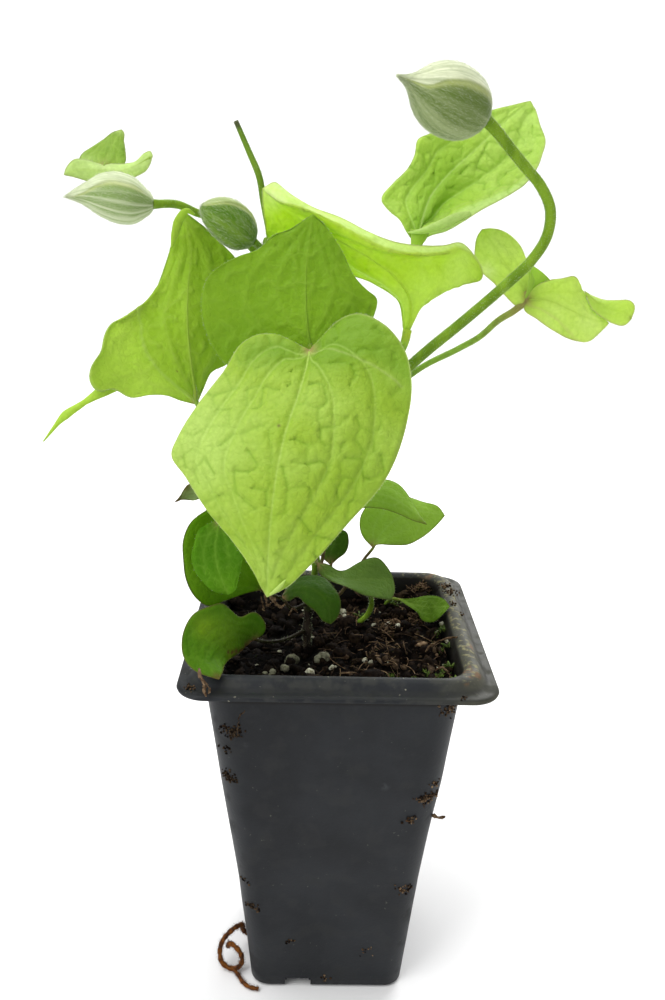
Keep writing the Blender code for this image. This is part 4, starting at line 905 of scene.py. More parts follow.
def seat(height, towards):
    """The last two points of a stalk that grows out of the main stem at a height."""
    line = smooth_line(MAIN_STEM, np.linspace(0, 1, LINE_STEPS))
    axis = np.array([np.interp(height, line[:, 2], line[:, part]) for part in range(3)])
    near = np.searchsorted(line[:, 2], height)
    along = unit(line[min(near + 1, LINE_STEPS - 1)] - line[near - 1])
    out = np.array(towards, dtype=float) - axis
    out = unit(out - along * np.dot(out, along))
    return [axis + out * (MAIN_RADIUS + STALK_FOOT), axis + out * 0.2]


def blade_grid(name):
    """A blade's points, row by row from joint to tip, before any relief."""
    leaf = LEAVES[name]
    rows, columns = BLADES[name][:2]
    guides = {-1.0: leaf["left"], 0.0: leaf["rib"], 1.0: leaf["right"]}
    if name in BRIMS:
        guides[BRIMS[name][0]] = BRIMS[name][1]
    knots = np.array(sorted(guides))
    shares = np.linspace(0.0, 1.0, rows + 1)
    inner = np.clip(shares, FIRST_ROW, LAST_ROW)
    lines = np.array([smooth_line([leaf["joint"], *guides[knot], leaf["tip"]], inner) for knot in knots])
    across = np.linspace(-1.0, 1.0, columns + 1)
    grid = np.array([spline(lines[:, row], knots, across) for row in range(rows + 1)])
    joint, tip = np.array(leaf["joint"], dtype=float), np.array(leaf["tip"], dtype=float)
    grid = joint + (grid - joint) * np.clip(shares / FIRST_ROW, 0, 1)[:, None, None]
    grid = tip + (grid - tip) * np.clip((1 - shares) / (1 - LAST_ROW), 0, 1)[:, None, None]
    for _ in range(3):
        grid[1:-1] = (grid[:-2] + 2 * grid[1:-1] + grid[2:]) / 4
    return grid, shares, across


def grid_normals(grid):
    """Directions square to a blade's surface at its points."""
    normals = unit(np.cross(np.gradient(grid, axis=0), np.gradient(grid, axis=1)))
    normals[0] = unit(normals[1].mean(axis=0))
    normals[-1] = unit(normals[-2].mean(axis=0))
    return normals


def on_grid(grid, along, across):
    """Points of the grid surface at shares along and across it."""
    row = np.clip(along * (grid.shape[0] - 1), 0, grid.shape[0] - 1.001)
    column = np.clip((across + 1) / 2 * (grid.shape[1] - 1), 0, grid.shape[1] - 1.001)
    above, left = row.astype(int), column.astype(int)
    down, right = (row - above)[:, None], (column - left)[:, None]
    upper = grid[above, left] * (1 - right) + grid[above, left + 1] * right
    lower = grid[above + 1, left] * (1 - right) + grid[above + 1, left + 1] * right
    return upper * (1 - down) + lower * down


def vein_lines(name):
    """Strong veins from the joint to the tip: shares along, shares across, strengths."""
    along = np.linspace(0.0, 1.0, LINE_STEPS)
    lines = [(along, np.zeros(LINE_STEPS), 1.0 - 0.5 * along)]
    along = along[:int(SIDE_VEIN_END * LINE_STEPS)]
    for near, middle, far in SIDE_VEINS.get(name, PLAIN_SIDE_VEINS):
        track = np.interp(along, (0.0, 0.12, 0.3, 0.5, 0.7, SIDE_VEIN_END),
                          (near * 0.3, near, (near + 2 * middle) / 3, middle, (2 * middle + far) / 3, far))
        lines.append((along, track, np.clip(1.0 - along, 0.0, 1) * 0.8))
    return lines


def search_tree(points):
    """A tree that finds the nearest of these points to any place."""
    tree = KDTree(len(points))
    for index, point in enumerate(points):
        tree.insert(point, index)
    tree.balance()
    return tree


def cell_net(grid, size, draw):
    """A net of cells about this many mm across: at each point, how far into a cell it is, and how strong
    the border is there."""
    points = grid.reshape(-1, 3)
    seeds = []
    for index in draw.integers(0, len(points), NET_TRIES):
        if not seeds or np.min(np.sum((np.array(seeds) - points[index]) ** 2, axis=1)) > (0.72 * size) ** 2:
            seeds.append(points[index])
    tree = search_tree(seeds)
    strength = draw.uniform(0.0, 1.0, NET_STRENGTHS) ** 1.2
    inward, border = np.zeros((2, len(points)))
    for index, point in enumerate(points):
        (_, first, first_gap), (_, second, second_gap) = tree.find_n(point, 2)
        inward[index] = (second_gap - first_gap) / 2
        border[index] = strength[(first + second + 7 * first * second) % NET_STRENGTHS]
    return inward.reshape(grid.shape[:2]), border.reshape(grid.shape[:2])


def nearest(grid, lines, reach):
    """At each grid point, the strength of the nearest line, fading with distance over the reach, and the
    distance to it."""
    samples = np.concatenate([on_grid(grid, along, across) for along, across, _ in lines])
    strengths = np.concatenate([strength for _, _, strength in lines])
    tree = search_tree(samples)
    found = [tree.find(point)[1:] for point in grid.reshape(-1, 3)]
    index = np.array([entry[0] for entry in found])
    gap = np.array([entry[1] for entry in found])
    shape = grid.shape[:2]
    return (strengths[index] * fade(gap, reach)).reshape(shape), gap.reshape(shape)


def blade_tones(name, grid, shares, across):
    """At each point of a blade: how much lighter or deeper, how withered, creased and raised it is."""
    light, withered, crease, raised = np.zeros((4, *grid.shape[:2]))
    for along, share, reach, lighter, dead in PATCHES.get(name, []):
        centre = on_grid(grid, np.array([along]), np.array([share]))[0]
        near = np.exp(-np.sum((grid - centre) ** 2, axis=2) / reach**2)
        light += lighter * near
        withered += dead * near
    if name in CREASES:
        side, lighter, rise, track = CREASES[name]
        track = np.array(track)
        start, end = track[0, 0], track[-1, 0]
        run = np.linspace(start, end, CREASE_STEPS)
        line = np.interp(run, track[:, 0], track[:, 1])
        _, gap = nearest(grid, [(run, line, np.ones(CREASE_STEPS))], 1.0)
        at = np.interp(shares, track[:, 0], track[:, 1])[:, None]
        window = step_up(shares, start - 0.05, start + 0.02) * step_up(-shares, -end - 0.05, -end + 0.02)
        window = window[:, None]
        beyond = side * (across[None, :] - at)
        # The side that the crease turns takes painted light, and painted shade where its value is below 0.
        light += lighter * step_up(beyond, 0.0, 0.10) * window
        raised = rise * step_up(beyond, -0.05, 0.12) * window
        crease = fade(gap, CREASE_REACH) * window
    return np.clip(light, -1, 1), np.clip(withered, 0, 1), crease, raised


def blade_relief(name, grid, shares, across, draw):
    """The marks on a blade's points, and how far (mm) each is lifted towards the upper side."""
    pucker, cell, wave = BLADES[name][4:]
    vein, gap = nearest(grid, vein_lines(name), VEIN_REACH)
    inward, border = cell_net(grid, cell, draw)
    fine_inward, fine_border = cell_net(grid, FINE_CELLS * cell, draw)
    # A band beside the main veins, carried by the net: painted shade in the grooved looks, vein colour in
    # the rest.
    flank = 0.45 * fade(gap - 0.5, 0.28) * np.clip(1.1 - shares, 0, 1)[:, None]
    net = np.maximum(flank, border * fade(inward, NET_REACH))
    net = np.maximum(net, 0.35 * fine_border * fade(fine_inward, FINE_NET_REACH))
    light, withered, crease, raised = blade_tones(name, grid, shares, across)
    pillow = (1 - fade(gap, 0.8)) * (1 - border * fade(inward, 0.20 * cell))
    pillow = pillow - 0.22 * fine_border * fade(fine_inward, 0.10 * cell)
    pillow = pillow * (1 - 0.5 * np.maximum(light, 0))
    calm = np.clip(np.minimum(shares / 0.06, (1 - shares) / 0.04), 0, 1)[:, None]
    calm = calm * np.clip((1 - np.abs(across)) / 0.05, 0.15, 1)[None, :]
    lift = pucker * pillow - 0.1 * pucker * vein - 0.15 * pucker * net - 0.15 * crease + raised
    turns = shares[:, None] * MARGIN_WAVES + draw.uniform(0, 1)
    ripple = np.sin(2 * math.pi * turns + 2.2 * np.sign(across)[None, :])
    lift = lift * calm + wave * ripple * np.abs(across)[None, :] ** 4 * calm
    marks = {"vein": vein, "net": net, "lighter": np.maximum(light, 0), "deeper": np.maximum(-light, 0),
             "withered": withered, "crease": crease}
    return marks, lift


def blade_faces(rows, columns, flip):
    """Faces of a blade's two skins and of the rim between them. Each end is drawn in to one point."""
    index = np.arange(rows * columns).reshape(rows, columns)
    index[0] = 0
    index[-1] = index[-1, 0]
    count = index.size
    faces = []
    for quad in index.ravel()[grid_faces(rows, columns)].tolist():
        corners = [corner for spot, corner in enumerate(quad) if corner != quad[spot - 1]]
        if flip:
            corners = corners[::-1]
        faces.append(corners[::-1])
        faces.append([corner + count for corner in corners])
    for rim in (index[:, 0].tolist(), index[:, -1].tolist()):
        for start, end in zip(rim[:-1], rim[1:]):
            faces.append([start, end, end + count, start + count])
    return faces


def add_fringe(fringe, grid, hairs_per_mm, draw):
    """Fine hairs along both edges of a blade."""
    for edge, beside in ((0, 1), (-1, -2)):
        rim, within = grid[2:-1, edge], grid[2:-1, beside]
        count = int(distances(rim)[-1] * hairs_per_mm)
        pick = draw.integers(0, len(rim) - 1, count)
        part = draw.uniform(0, 1, (count, 1))
        roots = rim[pick] * (1 - part) + rim[pick + 1] * part
        slant = 0.55 * unit(rim[pick + 1] - rim[pick]) * draw.normal(0, 0.8, (count, 1))
        ways = unit(rim[pick] - within[pick]) + slant
        add_hairs(fringe, roots, ways + draw.normal(0, 0.25, ways.shape), FRINGE_LENGTH, FRINGE_WIDTH, draw)


def make_blade(shape, fringe, name, draw):
    """Add a blade to a leaf's shape: two puckered skins with a rim between, a fringe of fine hairs, and
    the midrib below. Returns the upward direction at its joint."""
    rows, columns, upper_seen, look = BLADES[name][:4]
    grid, shares, across = blade_grid(name)
    normals = grid_normals(grid)
    towards = np.array(CAMERA_AT) - grid.mean(axis=(0, 1))
    side = 1.0 if (np.dot(normals.mean(axis=(0, 1)), towards) > 0) == upper_seen else -1.0
    marks, lift = blade_relief(name, grid, shares, across, draw)
    grid = grid + normals * side * lift[..., None]
    upper = grid_normals(grid) * side
    edge_gap = np.minimum(*[np.linalg.norm(grid - edge, axis=2) for edge in (grid[:, :1], grid[:, -1:])])
    thick = LEAF_THICKNESS * np.clip(edge_gap / 0.6, 0.35, 1.0)
    half = upper * thick[..., None] / 2
    skins = np.concatenate([(grid + half).reshape(-1, 3), (grid - half).reshape(-1, 3)])
    marks["edge"] = fade(edge_gap, MARGIN_REACH)
    marks["joint"] = fade(np.linalg.norm(grid - grid[0, 0], axis=2), 1.3) * (name not in LOOSE_FOLDS)
    faces = blade_faces(rows + 1, columns + 1, side > 0)
    shape.add(skins, faces, **{key: np.tile(value.ravel(), 2) for key, value in marks.items()})
    add_fringe(fringe, grid, FRINGE_PER_MM if look in PALE_LOOKS + MID_LOOKS else LOWER_FRINGE_PER_MM, draw)
    middle = columns // 2
    last = int(rows * MIDRIB_SHARE)
    ridge = grid[2:last, middle] - upper[2:last, middle] * 0.12
    add_tube(shape, ridge, np.linspace(*MIDRIB_RADII, len(ridge)), 8, vein=0.8)
    return upper[1, middle]


def add_strip(shape, points, breadths, turns, tone):
    """A thin strip of leaf along points, with its half widths, turned from flat by two angles along it."""
    line = smooth_line(points, np.linspace(0, 1, STRIP_STEPS))
    ahead = unit(np.gradient(line, axis=0))
    part = np.linspace(0, 1, STRIP_STEPS)[:, None]
    turn = turns[0] + (turns[1] - turns[0]) * part
    level = unit(np.cross(ahead, (0.0, 1.0, 0.0)))
    deep = np.cross(ahead, level)
    wide = level * np.cos(turn) + deep * np.sin(turn)
    thin = np.cross(wide, ahead)
    breadth = np.interp(part, np.linspace(0, 1, len(breadths)), breadths)
    angles = np.arange(STRIP_SIDES) * 2 * math.pi / STRIP_SIDES
    rings = np.stack([line + wide * breadth * math.cos(angle) + thin * STRIP_THICKNESS / 2 * math.sin(angle)
                      + thin * 0.35 * breadth * math.cos(angle) ** 2 for angle in angles], axis=1)
    edge = np.tile(np.abs(np.cos(angles)) ** 8, STRIP_STEPS)
    # The strip's tone is painted light and shade.
    shape.add(rings, closed_faces(STRIP_STEPS, STRIP_SIDES),
              edge=0.5 * edge, lighter=max(tone, 0.0), deeper=max(-tone, 0.0))


def make_leaf(name, stem_hairs, fringe, draw):
    """A leaf: its blade or folds, its stalk with fine hairs, and its strips."""
    leaf = LEAVES[name]
    look = BLADES[name][3]
    shape = Shape()
    for fold in FOLDS.get(name, []):
        make_blade(shape, fringe, fold, draw)
    upper = make_blade(shape, fringe, name, draw)
    joint = np.array(leaf["joint"], dtype=float)
    inside = joint + 0.5 * (np.array(leaf["rib"][0]) - joint)
    line = [inside - upper * 0.25, joint - upper * 0.45, *leaf["stalk"]]
    if leaf["height"] is not None:
        line += seat(leaf["height"], line[-1])
    length = distances(np.array(line, dtype=float))[-1]
    shares = np.linspace(0, 1, max(12, int(length * 2.2)))
    path = smooth_line(line, shares)
    radius, hairs_per_mm = UPPER_STALKS if look in PALE_LOOKS + MID_LOOKS else LOWER_STALKS
    radii = radius * np.interp(shares, [0, 0.08, 0.2, 0.9, 1],
                               [*STOUT_STALKS.get(look, PLAIN_STALK), 1.0, 1.35])
    run = distances(path)
    tint_share, tint_reach = JOINT_TINTS.get(look, PLAIN_JOINT)
    rings, out = add_tube(shape, path, radii, 14, stalk=step_up(run, 0.5, 4.0),
                          joint=tint_share * fade(run - 1.5, tint_reach))
    roots, outward, onward = scatter_on(rings, out, int(length * hairs_per_mm), draw)
    add_hairs(stem_hairs, roots, outward + 0.3 * onward, 0.45, HAIR_WIDTH, draw)
    for strip in STRIPS.get(name, []):
        add_strip(shape, *strip)
    slot = "leaf_pale" if look in PALE_LOOKS else "leaf_mid" if look in MID_LOOKS else "leaf_dark"
    place(shape.object(name + "_fine", leaf_material(look)), slot, name)


def make_bud(name, wool, draw):
    """A nodding bud: an arched egg drawn out to a point, one sepal over the others, ribbed and silky."""
    _, base, tip, radius, arch, widths = BUDS[name]
    ribs, rib_depth = BUD_LOOKS[name][:2]
    base, tip = np.array(base, dtype=float), np.array(tip, dtype=float)
    axis = unit(tip - base)
    side = unit(np.cross(axis, (0, 1, 0)))
    up = np.cross(side, axis)
    shares = np.linspace(0, 1, BUD_ROWS + 1)
    widths = np.array(widths)
    width = spline(widths[:, 1:], widths[:, 0], shares)[:, 0] * radius
    angle = np.arange(BUD_SIDES) * 2 * math.pi / BUD_SIDES
    body = np.sin(math.pi * shares)[:, None]
    edge = np.array(SEPAL_EDGES[name], dtype=float)
    edge_angle = np.radians(spline(edge[:, 1:], edge[:, 0], shares))
    below = np.mod(angle[None, :] - edge_angle + math.pi, 2 * math.pi) - math.pi
    over = step_up(-below, 0.0, 0.05) * step_up(below, -2.2, -1.8)
    rib = (0.5 + 0.5 * np.cos(ribs * angle + 0.5 * np.sin(2 * angle)))[None, :] ** 1.5 + 0 * body
    radii = width[:, None] * (1 + body * rib_depth * (rib - 0.5)) + body * SEPAL_STEP * (over - 0.5)
    bend = arch * ARCH_FORM * shares**2 * (1 - shares)
    line = base + (tip - base) * shares[:, None] - side * bend[:, None]
    way = np.cos(angle)[None, :, None] * side + np.sin(angle)[None, :, None] * up
    rings = line[:, None] + radii[..., None] * way
    quads = [quad[::-1] for quad in grid_faces(BUD_ROWS + 1, BUD_SIDES, wrap=True).tolist()]
    # Painted shade below the upper sepal's edge, weaker towards the tip.
    shade = fade(below - 0.50, 0.38) * (1 - 0.6 * shares[:, None] ** 2)
    lip = fade(below - 0.07, 0.11) * step_up(shares, 0.02, 0.2)[:, None]
    shape = Shape()
    shape.add(rings, quads + end_faces(BUD_ROWS + 1, BUD_SIDES),
              rib=rib.ravel(), over=over.ravel(), shade=shade.ravel(), lip=lip.ravel(),
              along=np.repeat(shares, BUD_SIDES), round_x=np.tile(np.cos(angle), BUD_ROWS + 1),
              round_y=np.tile(np.sin(angle), BUD_ROWS + 1))
    item = shape.object(name + "_fine", bud_material(name))
    place(item, "bud_wool", name)
    out = np.broadcast_to(way, rings.shape)
    roots, outward, onward = scatter_on(rings, out, int(radius**2 * WOOL_DENSITY), draw)
    ways = outward * 0.30 + onward + draw.normal(0, 0.14, roots.shape)
    add_hairs(wool, roots, ways, WOOL_LENGTH, WOOL_WIDTH, draw)


def make_stem(name, points, radii, stem_hairs, draw, hairs_per_mm=STEM_HAIRS_PER_MM, **values):
    """A ribbed stem along a smooth line, with short hairs."""
    length = distances(np.array(points, dtype=float))[-1]
    shares = np.linspace(0, 1, max(16, int(length * 2)))
    line = smooth_line(points, shares)
    radius = radii(line) if callable(radii) else np.interp(shares, *radii)
    ribs = 1 + RIB_HEIGHT * np.cos(STEM_RIBS * np.arange(STEM_SIDES) * 2 * math.pi / STEM_SIDES)
    shape = Shape()
    rings, out = add_tube(shape, line, radius[:, None] * ribs[None, :], STEM_SIDES,
                          **{key: value(line) for key, value in values.items()})
    roots, outward, onward = scatter_on(rings, out, int(length * hairs_per_mm), draw)
    add_hairs(stem_hairs, roots, outward + 0.35 * onward, 0.5, HAIR_WIDTH, draw)
    item = shape.object(name + "_fine", stem_material())
    place(item, "stem_green", name)


def main_radius(line):
    """The main stem's radius: thinner upwards, swollen at the nodes where stalks meet it."""
    radius = np.interp(line[:, 2], *zip(*MAIN_RADII))
    for height in NODE_HEIGHTS:
        radius = radius + 0.35 * fade(line[:, 2] - height, 1.3)
    return radius


def make_stems(stem_hairs, draw):
    """The main stem, the sprout and the stalks of the buds."""
    make_stem("stem_main", MAIN_STEM, main_radius, stem_hairs, draw,
              woody=lambda line: np.clip((99 - line[:, 2]) / 12, 0, 1),
              aged=lambda line: np.clip((line[:, 2] - 160) / 15, 0, 1),
              cut=lambda line: np.clip((line[:, 2] - 187.4) / 0.8, 0, 1))
    make_stem("sprout", SPROUT, ([0, 0.6, 1], [0.6, 0.62, 0.35]), stem_hairs, draw)
    for name, (radius, height, way) in BUD_STALKS.items():
        base, tip = next(np.array(bud[1:3], dtype=float) for bud in BUDS.values() if bud[0] == name)
        points = [*seat(height, way[0])[::-1], *way, base + unit(tip - base) * 0.3]
        make_stem(name, points, ([0, 0.04, 0.94, 1], [radius * 1.25, radius, radius, radius * 1.2]),
                  stem_hairs, draw, BUD_STALK_HAIRS_PER_MM)


def square_ring(half, height, corner, shift):
    """A square with rounded corners, seen from above anticlockwise, with points along its sides."""
    arcs = []
    for quarter, (side_x, side_y) in enumerate(((1, 1), (-1, 1), (-1, -1), (1, -1))):
        angles = [(quarter + step / CORNER_POINTS) * math.pi / 2 for step in range(CORNER_POINTS + 1)]
        arcs.append([(side_x * (half - corner) + corner * math.cos(angle) + shift,
                      side_y * (half - corner) + corner * math.sin(angle), height) for angle in angles])
    points = []
    for arc, following in zip(arcs, arcs[1:] + arcs[:1]):
        start, end = np.array(arc[-1]), np.array(following[0])
        points += arc
        points += [tuple(start + (end - start) * part / SIDE_POINTS) for part in range(1, SIDE_POINTS)]
    return np.array(points)


def wall_at(height):
    """Half width, corner radius and shift of the pot's outer wall at a height."""
    stations = np.array(POT_PROFILE[:WALL_STATIONS])
    return [np.interp(height, stations[:, 1], stations[:, axis]) for axis in (0, 2, 3)]


def dense_profile(profile, spacing):
    """The stations of a profile, filled in so that no step is longer than the spacing."""
    profile = np.array(profile)
    dense = [profile[0]]
    for low, high in zip(profile[:-1], profile[1:]):
        steps = max(1, math.ceil(np.linalg.norm((high - low)[:2]) / spacing))
        dense += [low + (high - low) * part / steps for part in range(1, steps + 1)]
    return np.array(dense)


def waves(points, draw, scale, count=10):
    """A smooth random height field over the first two coordinates of the points, about -1 to 1."""
    height = np.zeros(len(points))
    for _ in range(count):
        way = draw.normal(0, 1, 2)
        start = draw.uniform(0, 6.3)
        height += np.sin(points[:, 0] * way[0] / scale + points[:, 1] * way[1] / scale + start)
    return height / math.sqrt(count) / 1.2


def slot_cutter(x, y):
    """A block with soft edges that cuts one drain slot at the pot's foot."""
    cutter = bmesh.new()
    length = 2 * DRAIN_DEPTH
    width = (DRAIN_WIDTH, length) if abs(y) > abs(x) else (length, DRAIN_WIDTH)
    bmesh.ops.create_cube(cutter, size=1.0)
    bmesh.ops.scale(cutter, verts=cutter.verts, vec=Vector((*width, 2 * DRAIN_HEIGHT)) * MM)
    bmesh.ops.bevel(cutter, geom=cutter.edges[:], offset=0.5 * MM, segments=3, affect="EDGES")
    bmesh.ops.translate(cutter, verts=cutter.verts, vec=Vector((x, y, 0.0)) * MM)
    mesh = bpy.data.meshes.new("slot")
    cutter.to_mesh(mesh)
    cutter.free()
    return add_object("slot", mesh)


def make_pot():
    """The pot as one closed skin, a little buckled along its sides, with a slot cut at each foot."""
    rings = []
    for profile in (POT_PROFILE, POT_INSIDE):
        for half, height, corner, shift in dense_profile(profile, POT_SPACING):
            ring = square_ring(half, height, corner, shift)
            calm = np.clip((80 - height) / 30, 0, 1) * np.clip(height / 12, 0, 1)
            spots = ring[:, [0, 2]] + ring[:, [1, 0]] * 0.7
            sway = BUCKLE_DEPTH * waves(spots, np.random.default_rng(POT_SEED), BUCKLE_SCALE)
            ring[:, :2] -= unit(ring[:, :2]) * (np.abs(sway) * calm)[:, None]
            rings.append(ring)
    rings = np.array(rings)
    shape = Shape()
    shape.add(rings, closed_faces(*rings.shape[:2]))
    item = shape.object("pot_fine", pot_material())
    for x, y in DRAIN_SLOTS:
        block = slot_cutter(x, y)
        hole = item.modifiers.new("hole", "BOOLEAN")
        hole.operation = "DIFFERENCE"
        hole.solver = "EXACT"
        hole.object = block
        bpy.context.view_layer.update()
        seen = item.evaluated_get(bpy.context.evaluated_depsgraph_get())
        cut_mesh = bpy.data.meshes.new_from_object(seen)
        item.modifiers.clear()
        item.data = cut_mesh
        bpy.data.objects.remove(block, do_unlink=True)
    item.data.shade_smooth()
    item.data.set_sharp_from_angle(angle=math.radians(50))
    place(item, "pot_plastic", "pot")


def soil_top(points):
    """Height of the soil's rough top at each point."""
    draw = np.random.default_rng(SOIL_SEED)
    x, y = points[:, 0], points[:, 1]
    piled = 3.0 * step_up(x, 22.0, 25.5) + 1.6 * step_up(y, 20.0, 25.0) * step_up(x, -5.0, 8.0)
    piled = np.maximum(piled, 5.0 * np.exp(-((x - 22.0) ** 2 + (y - 26.0) ** 2) / 40.0))
    return (SOIL_LEVEL - 0.5 + 0.9 * waves(points, draw, 5.0) + 0.75 * waves(points, draw, 1.5)
            + 0.25 * waves(points, draw, 0.6, 16) + piled)


def make_soil():
    """The block of soil in the pot, with a rough top."""
    inset = POT_WALL + SOIL_GAP
    rings = []
    for height in SOIL_STATIONS:
        half, corner, shift = wall_at(height)
        rings.append(square_ring(half - inset, height, corner - POT_WALL, shift))
    for share in np.linspace(0.995, 0.02, SOIL_RINGS):
        ring = square_ring((half - inset) * share, 0.0, (corner - POT_WALL) * share, shift)
        ring[:, 2] = soil_top(ring[:, :2])
        rings.append(ring)
    rings = np.array(rings)
    shape = Shape()
    shape.add(rings, closed_faces(*rings.shape[:2]))
    place(shape.object("soil_fine", soil_material()), "potting_soil", "soil")


def round_lump(divisions):
    """Points and faces of a small ball of triangles."""
    ball = bmesh.new()
    bmesh.ops.create_icosphere(ball, subdivisions=divisions, radius=1.0)
    points = np.array([tuple(vert.co) for vert in ball.verts])
    faces = np.array([[vert.index for vert in face.verts] for face in ball.faces])
    ball.free()
    return points, faces


def add_lump(shape, lump, centre, size, draw, rough=0.25, tilt=3.2, **values):
    """Add one irregular lump: size is its three half lengths."""
    points, faces = lump
    turn = Matrix.Rotation(draw.uniform(0, 6.3), 3, "Z") @ Matrix.Rotation(draw.uniform(-tilt, tilt), 3, "X")
    bumps = 1 + draw.uniform(-rough, rough, (len(points), 1))
    shape.add((points * bumps * np.array(size)) @ np.array(turn).T + np.array(centre), faces, **values)


def random_places(count, draw):
    """Random places on the soil's top."""
    places = draw.uniform(-SOIL_HALF, SOIL_HALF, (count, 2)) + np.array((-0.7, 0.0))
    return np.column_stack([places, soil_top(places)])


def leaf_shadow_factor(point):
    """Painted shade on litter: darker on the left, under the leaves."""
    return 0.35 + 0.65 * step_up(point[0], -12.0, 4.0)


def make_crumbs(draw):
    """Crumbs of peat, lumps and flat chips of bark on the soil."""
    small, fine = round_lump(1), round_lump(2)
    crumbs = Shape()
    for point in random_places(CRUMBS, draw):
        size = 0.3 * math.exp(draw.normal(0, 0.6))
        add_lump(crumbs, small, point, size * draw.uniform(0.6, 1.6, 3), draw, rough=0.4,
                 tone=leaf_shadow_factor(point) * draw.uniform(0, 0.6) ** 2.6)
    for point in random_places(BARK_LUMPS, draw):
        add_lump(crumbs, fine, point - (0, 0, 0.1), draw.uniform(0.6, 2.0) * draw.uniform(0.5, 1.2, 3), draw,
                 rough=0.28, tone=draw.uniform(0, 0.3) ** 2)
    for point in random_places(BARK_CHIPS, draw):
        length = draw.uniform(0.7, 2.4)
        add_lump(crumbs, small, point + (0, 0, 0.4), (length, length * draw.uniform(0.2, 0.5), 0.2), draw,
                 tilt=0.9, tone=leaf_shadow_factor(point) * draw.uniform(0.1, 0.9) ** 2.2)
    place(crumbs.object("soil_crumbs", crumb_material()), "potting_soil")


def make_fibres(draw):
    """Bent fibres, loose fluff and dead scraps."""
    fibres = Shape()
    for point in random_places(FIBRES, draw):
        way = unit(draw.normal(0, 1, 3) * (1, 1, 0.25))
        side = np.cross(way, (0, 0, 1))
        length = draw.uniform(2.0, 8.0)
        part = np.linspace(-0.5, 0.5, 10)[:, None]
        line = point + (0, 0, 0.35) + way * length * part + side * draw.uniform(-0.8, 0.8) * part**2 * length
        line[:, 2] += draw.uniform(0.0, 1.0) * (0.25 - part[:, 0] ** 2) * 3
        add_tube(fibres, line, np.full(10, draw.uniform(0.05, 0.13)), 5,
                 tone=leaf_shadow_factor(point) * draw.uniform(0.1, 1.0) ** 1.5)
    for x, y, spread, count in FLUFF:
        spots = np.array((x, y)) + draw.normal(0, spread / 2, (count, 2))
        for point in np.column_stack([spots, soil_top(spots) + draw.uniform(0.1, 1.0, count)]):
            way = unit(draw.normal(0, 1, 3) * (1, 1, 0.5))
            line = point + way * draw.uniform(0.6, 2.0) * np.linspace(-0.5, 0.5, 5)[:, None]
            add_tube(fibres, line, np.full(5, draw.uniform(0.05, 0.16)), 5, tone=draw.uniform(0.1, 1.0))
    for path, radius in SCRAPS:
        line = smooth_line(path, np.linspace(0, 1, SCRAP_STEPS)) + draw.normal(0, 0.08, (SCRAP_STEPS, 3))
        swell = 0.6 + 0.5 * np.sin(np.linspace(0.3, 6.0, SCRAP_STEPS)) ** 2
        add_tube(fibres, line, radius * swell[:, None] * np.array(SCRAP_SECTION)[None, :], 8, tone=0.7)
    place(fibres.object("soil_fibres", crumb_material()), "potting_soil")


def make_stones(draw):
    """Puffed grains of perlite, each of three lumps, and small bits of it."""
    small, fine = round_lump(1), round_lump(2)
    stones = Shape()
    for x, y, size, white in PERLITE:
        point = np.array((x, y, soil_top(np.array([(x, y)]))[0] + size * 0.45))
        for _ in range(3):
            part = size * draw.uniform(0.45, 0.85, 3)
            centre = point + draw.normal(0, 0.22, 3) * size
            add_lump(stones, fine, centre, part, draw, rough=0.14, white=white)
    for point in random_places(PERLITE_BITS, draw):
        add_lump(stones, small, point + (0, 0, 0.1), draw.uniform(0.12, 0.4, 3), draw, rough=0.35,
                 white=draw.uniform(0.2, 1.0))
    place(stones.object("soil_perlite", perlite_material()), "potting_soil")


def make_moss(draw):
    """Tufts of moss, and seedlings of four small leaves."""
    moss = Shape()
    for x, y, size in MOSS:
        count = int(45 * size**2)
        spots = np.array((x, y)) + draw.normal(0, size * 0.45, (count, 2))
        roots = np.column_stack([spots, soil_top(spots) + 0.1])
        ways = np.column_stack([draw.normal(0, 0.7, (count, 2)), np.ones(count)])
        add_hairs(moss, roots, ways, 0.9, 0.35, draw)
    radii = np.array(SEEDLING_WIDTHS)[:, None] * np.array(SEEDLING_SECTION)[None, :]
    for foot in SEEDLINGS:
        for turn in draw.uniform(0, 6.3) + np.arange(4) * 1.6:
            way = unit(np.array((math.cos(turn), math.sin(turn), draw.uniform(0.4, 1.3))))
            run = np.linspace(0, draw.uniform(1.2, 2.2), len(radii))
            add_tube(moss, np.array(foot) + way * run[:, None], radii, len(SEEDLING_SECTION))
    place(moss.object("soil_moss", moss_material()), "leaf_dark")


def front_wall(across, up):
    """Place on the pot's front wall at a distance across and up, with its round corners."""
    half, corner, shift = wall_at(up)
    past = min(max(0.0, abs(across - shift) - (half - corner)), 0.8 * corner)
    inside = math.copysign(min(abs(across - shift), half - 0.2 * corner), across - shift)
    return np.array((shift + inside, -(half - corner) - math.sqrt(corner**2 - past**2), up))


def make_dirt(draw):
    """Crumbs of soil that stuck to the rim and the wall outside."""
    lump, shape = round_lump(1), Shape()
    for x, z, spread, count in WALL_DIRT:
        for _ in range(count):
            spot = front_wall(x + draw.normal(0, spread), max(0.6, z + draw.normal(0, 0.7 * spread)))
            size = draw.uniform(0.10, 0.38, 3)
            add_lump(shape, lump, spot, size, draw, tone=draw.uniform(0.05, 0.9) ** 1.5)
    for x, y, z, spread, count in RIM_DIRT:
        for _ in range(count):
            spot = np.array((x, y, z)) + draw.normal(0, 1, 3) * (0.6 * spread, 0.8 * spread, 0.05)
            size = draw.uniform(0.10, 0.3, 3)
            add_lump(shape, lump, spot, size, draw, tone=draw.uniform(0.05, 0.8) ** 1.5)
    place(shape.object("pot_dirt", crumb_material()), "potting_soil")


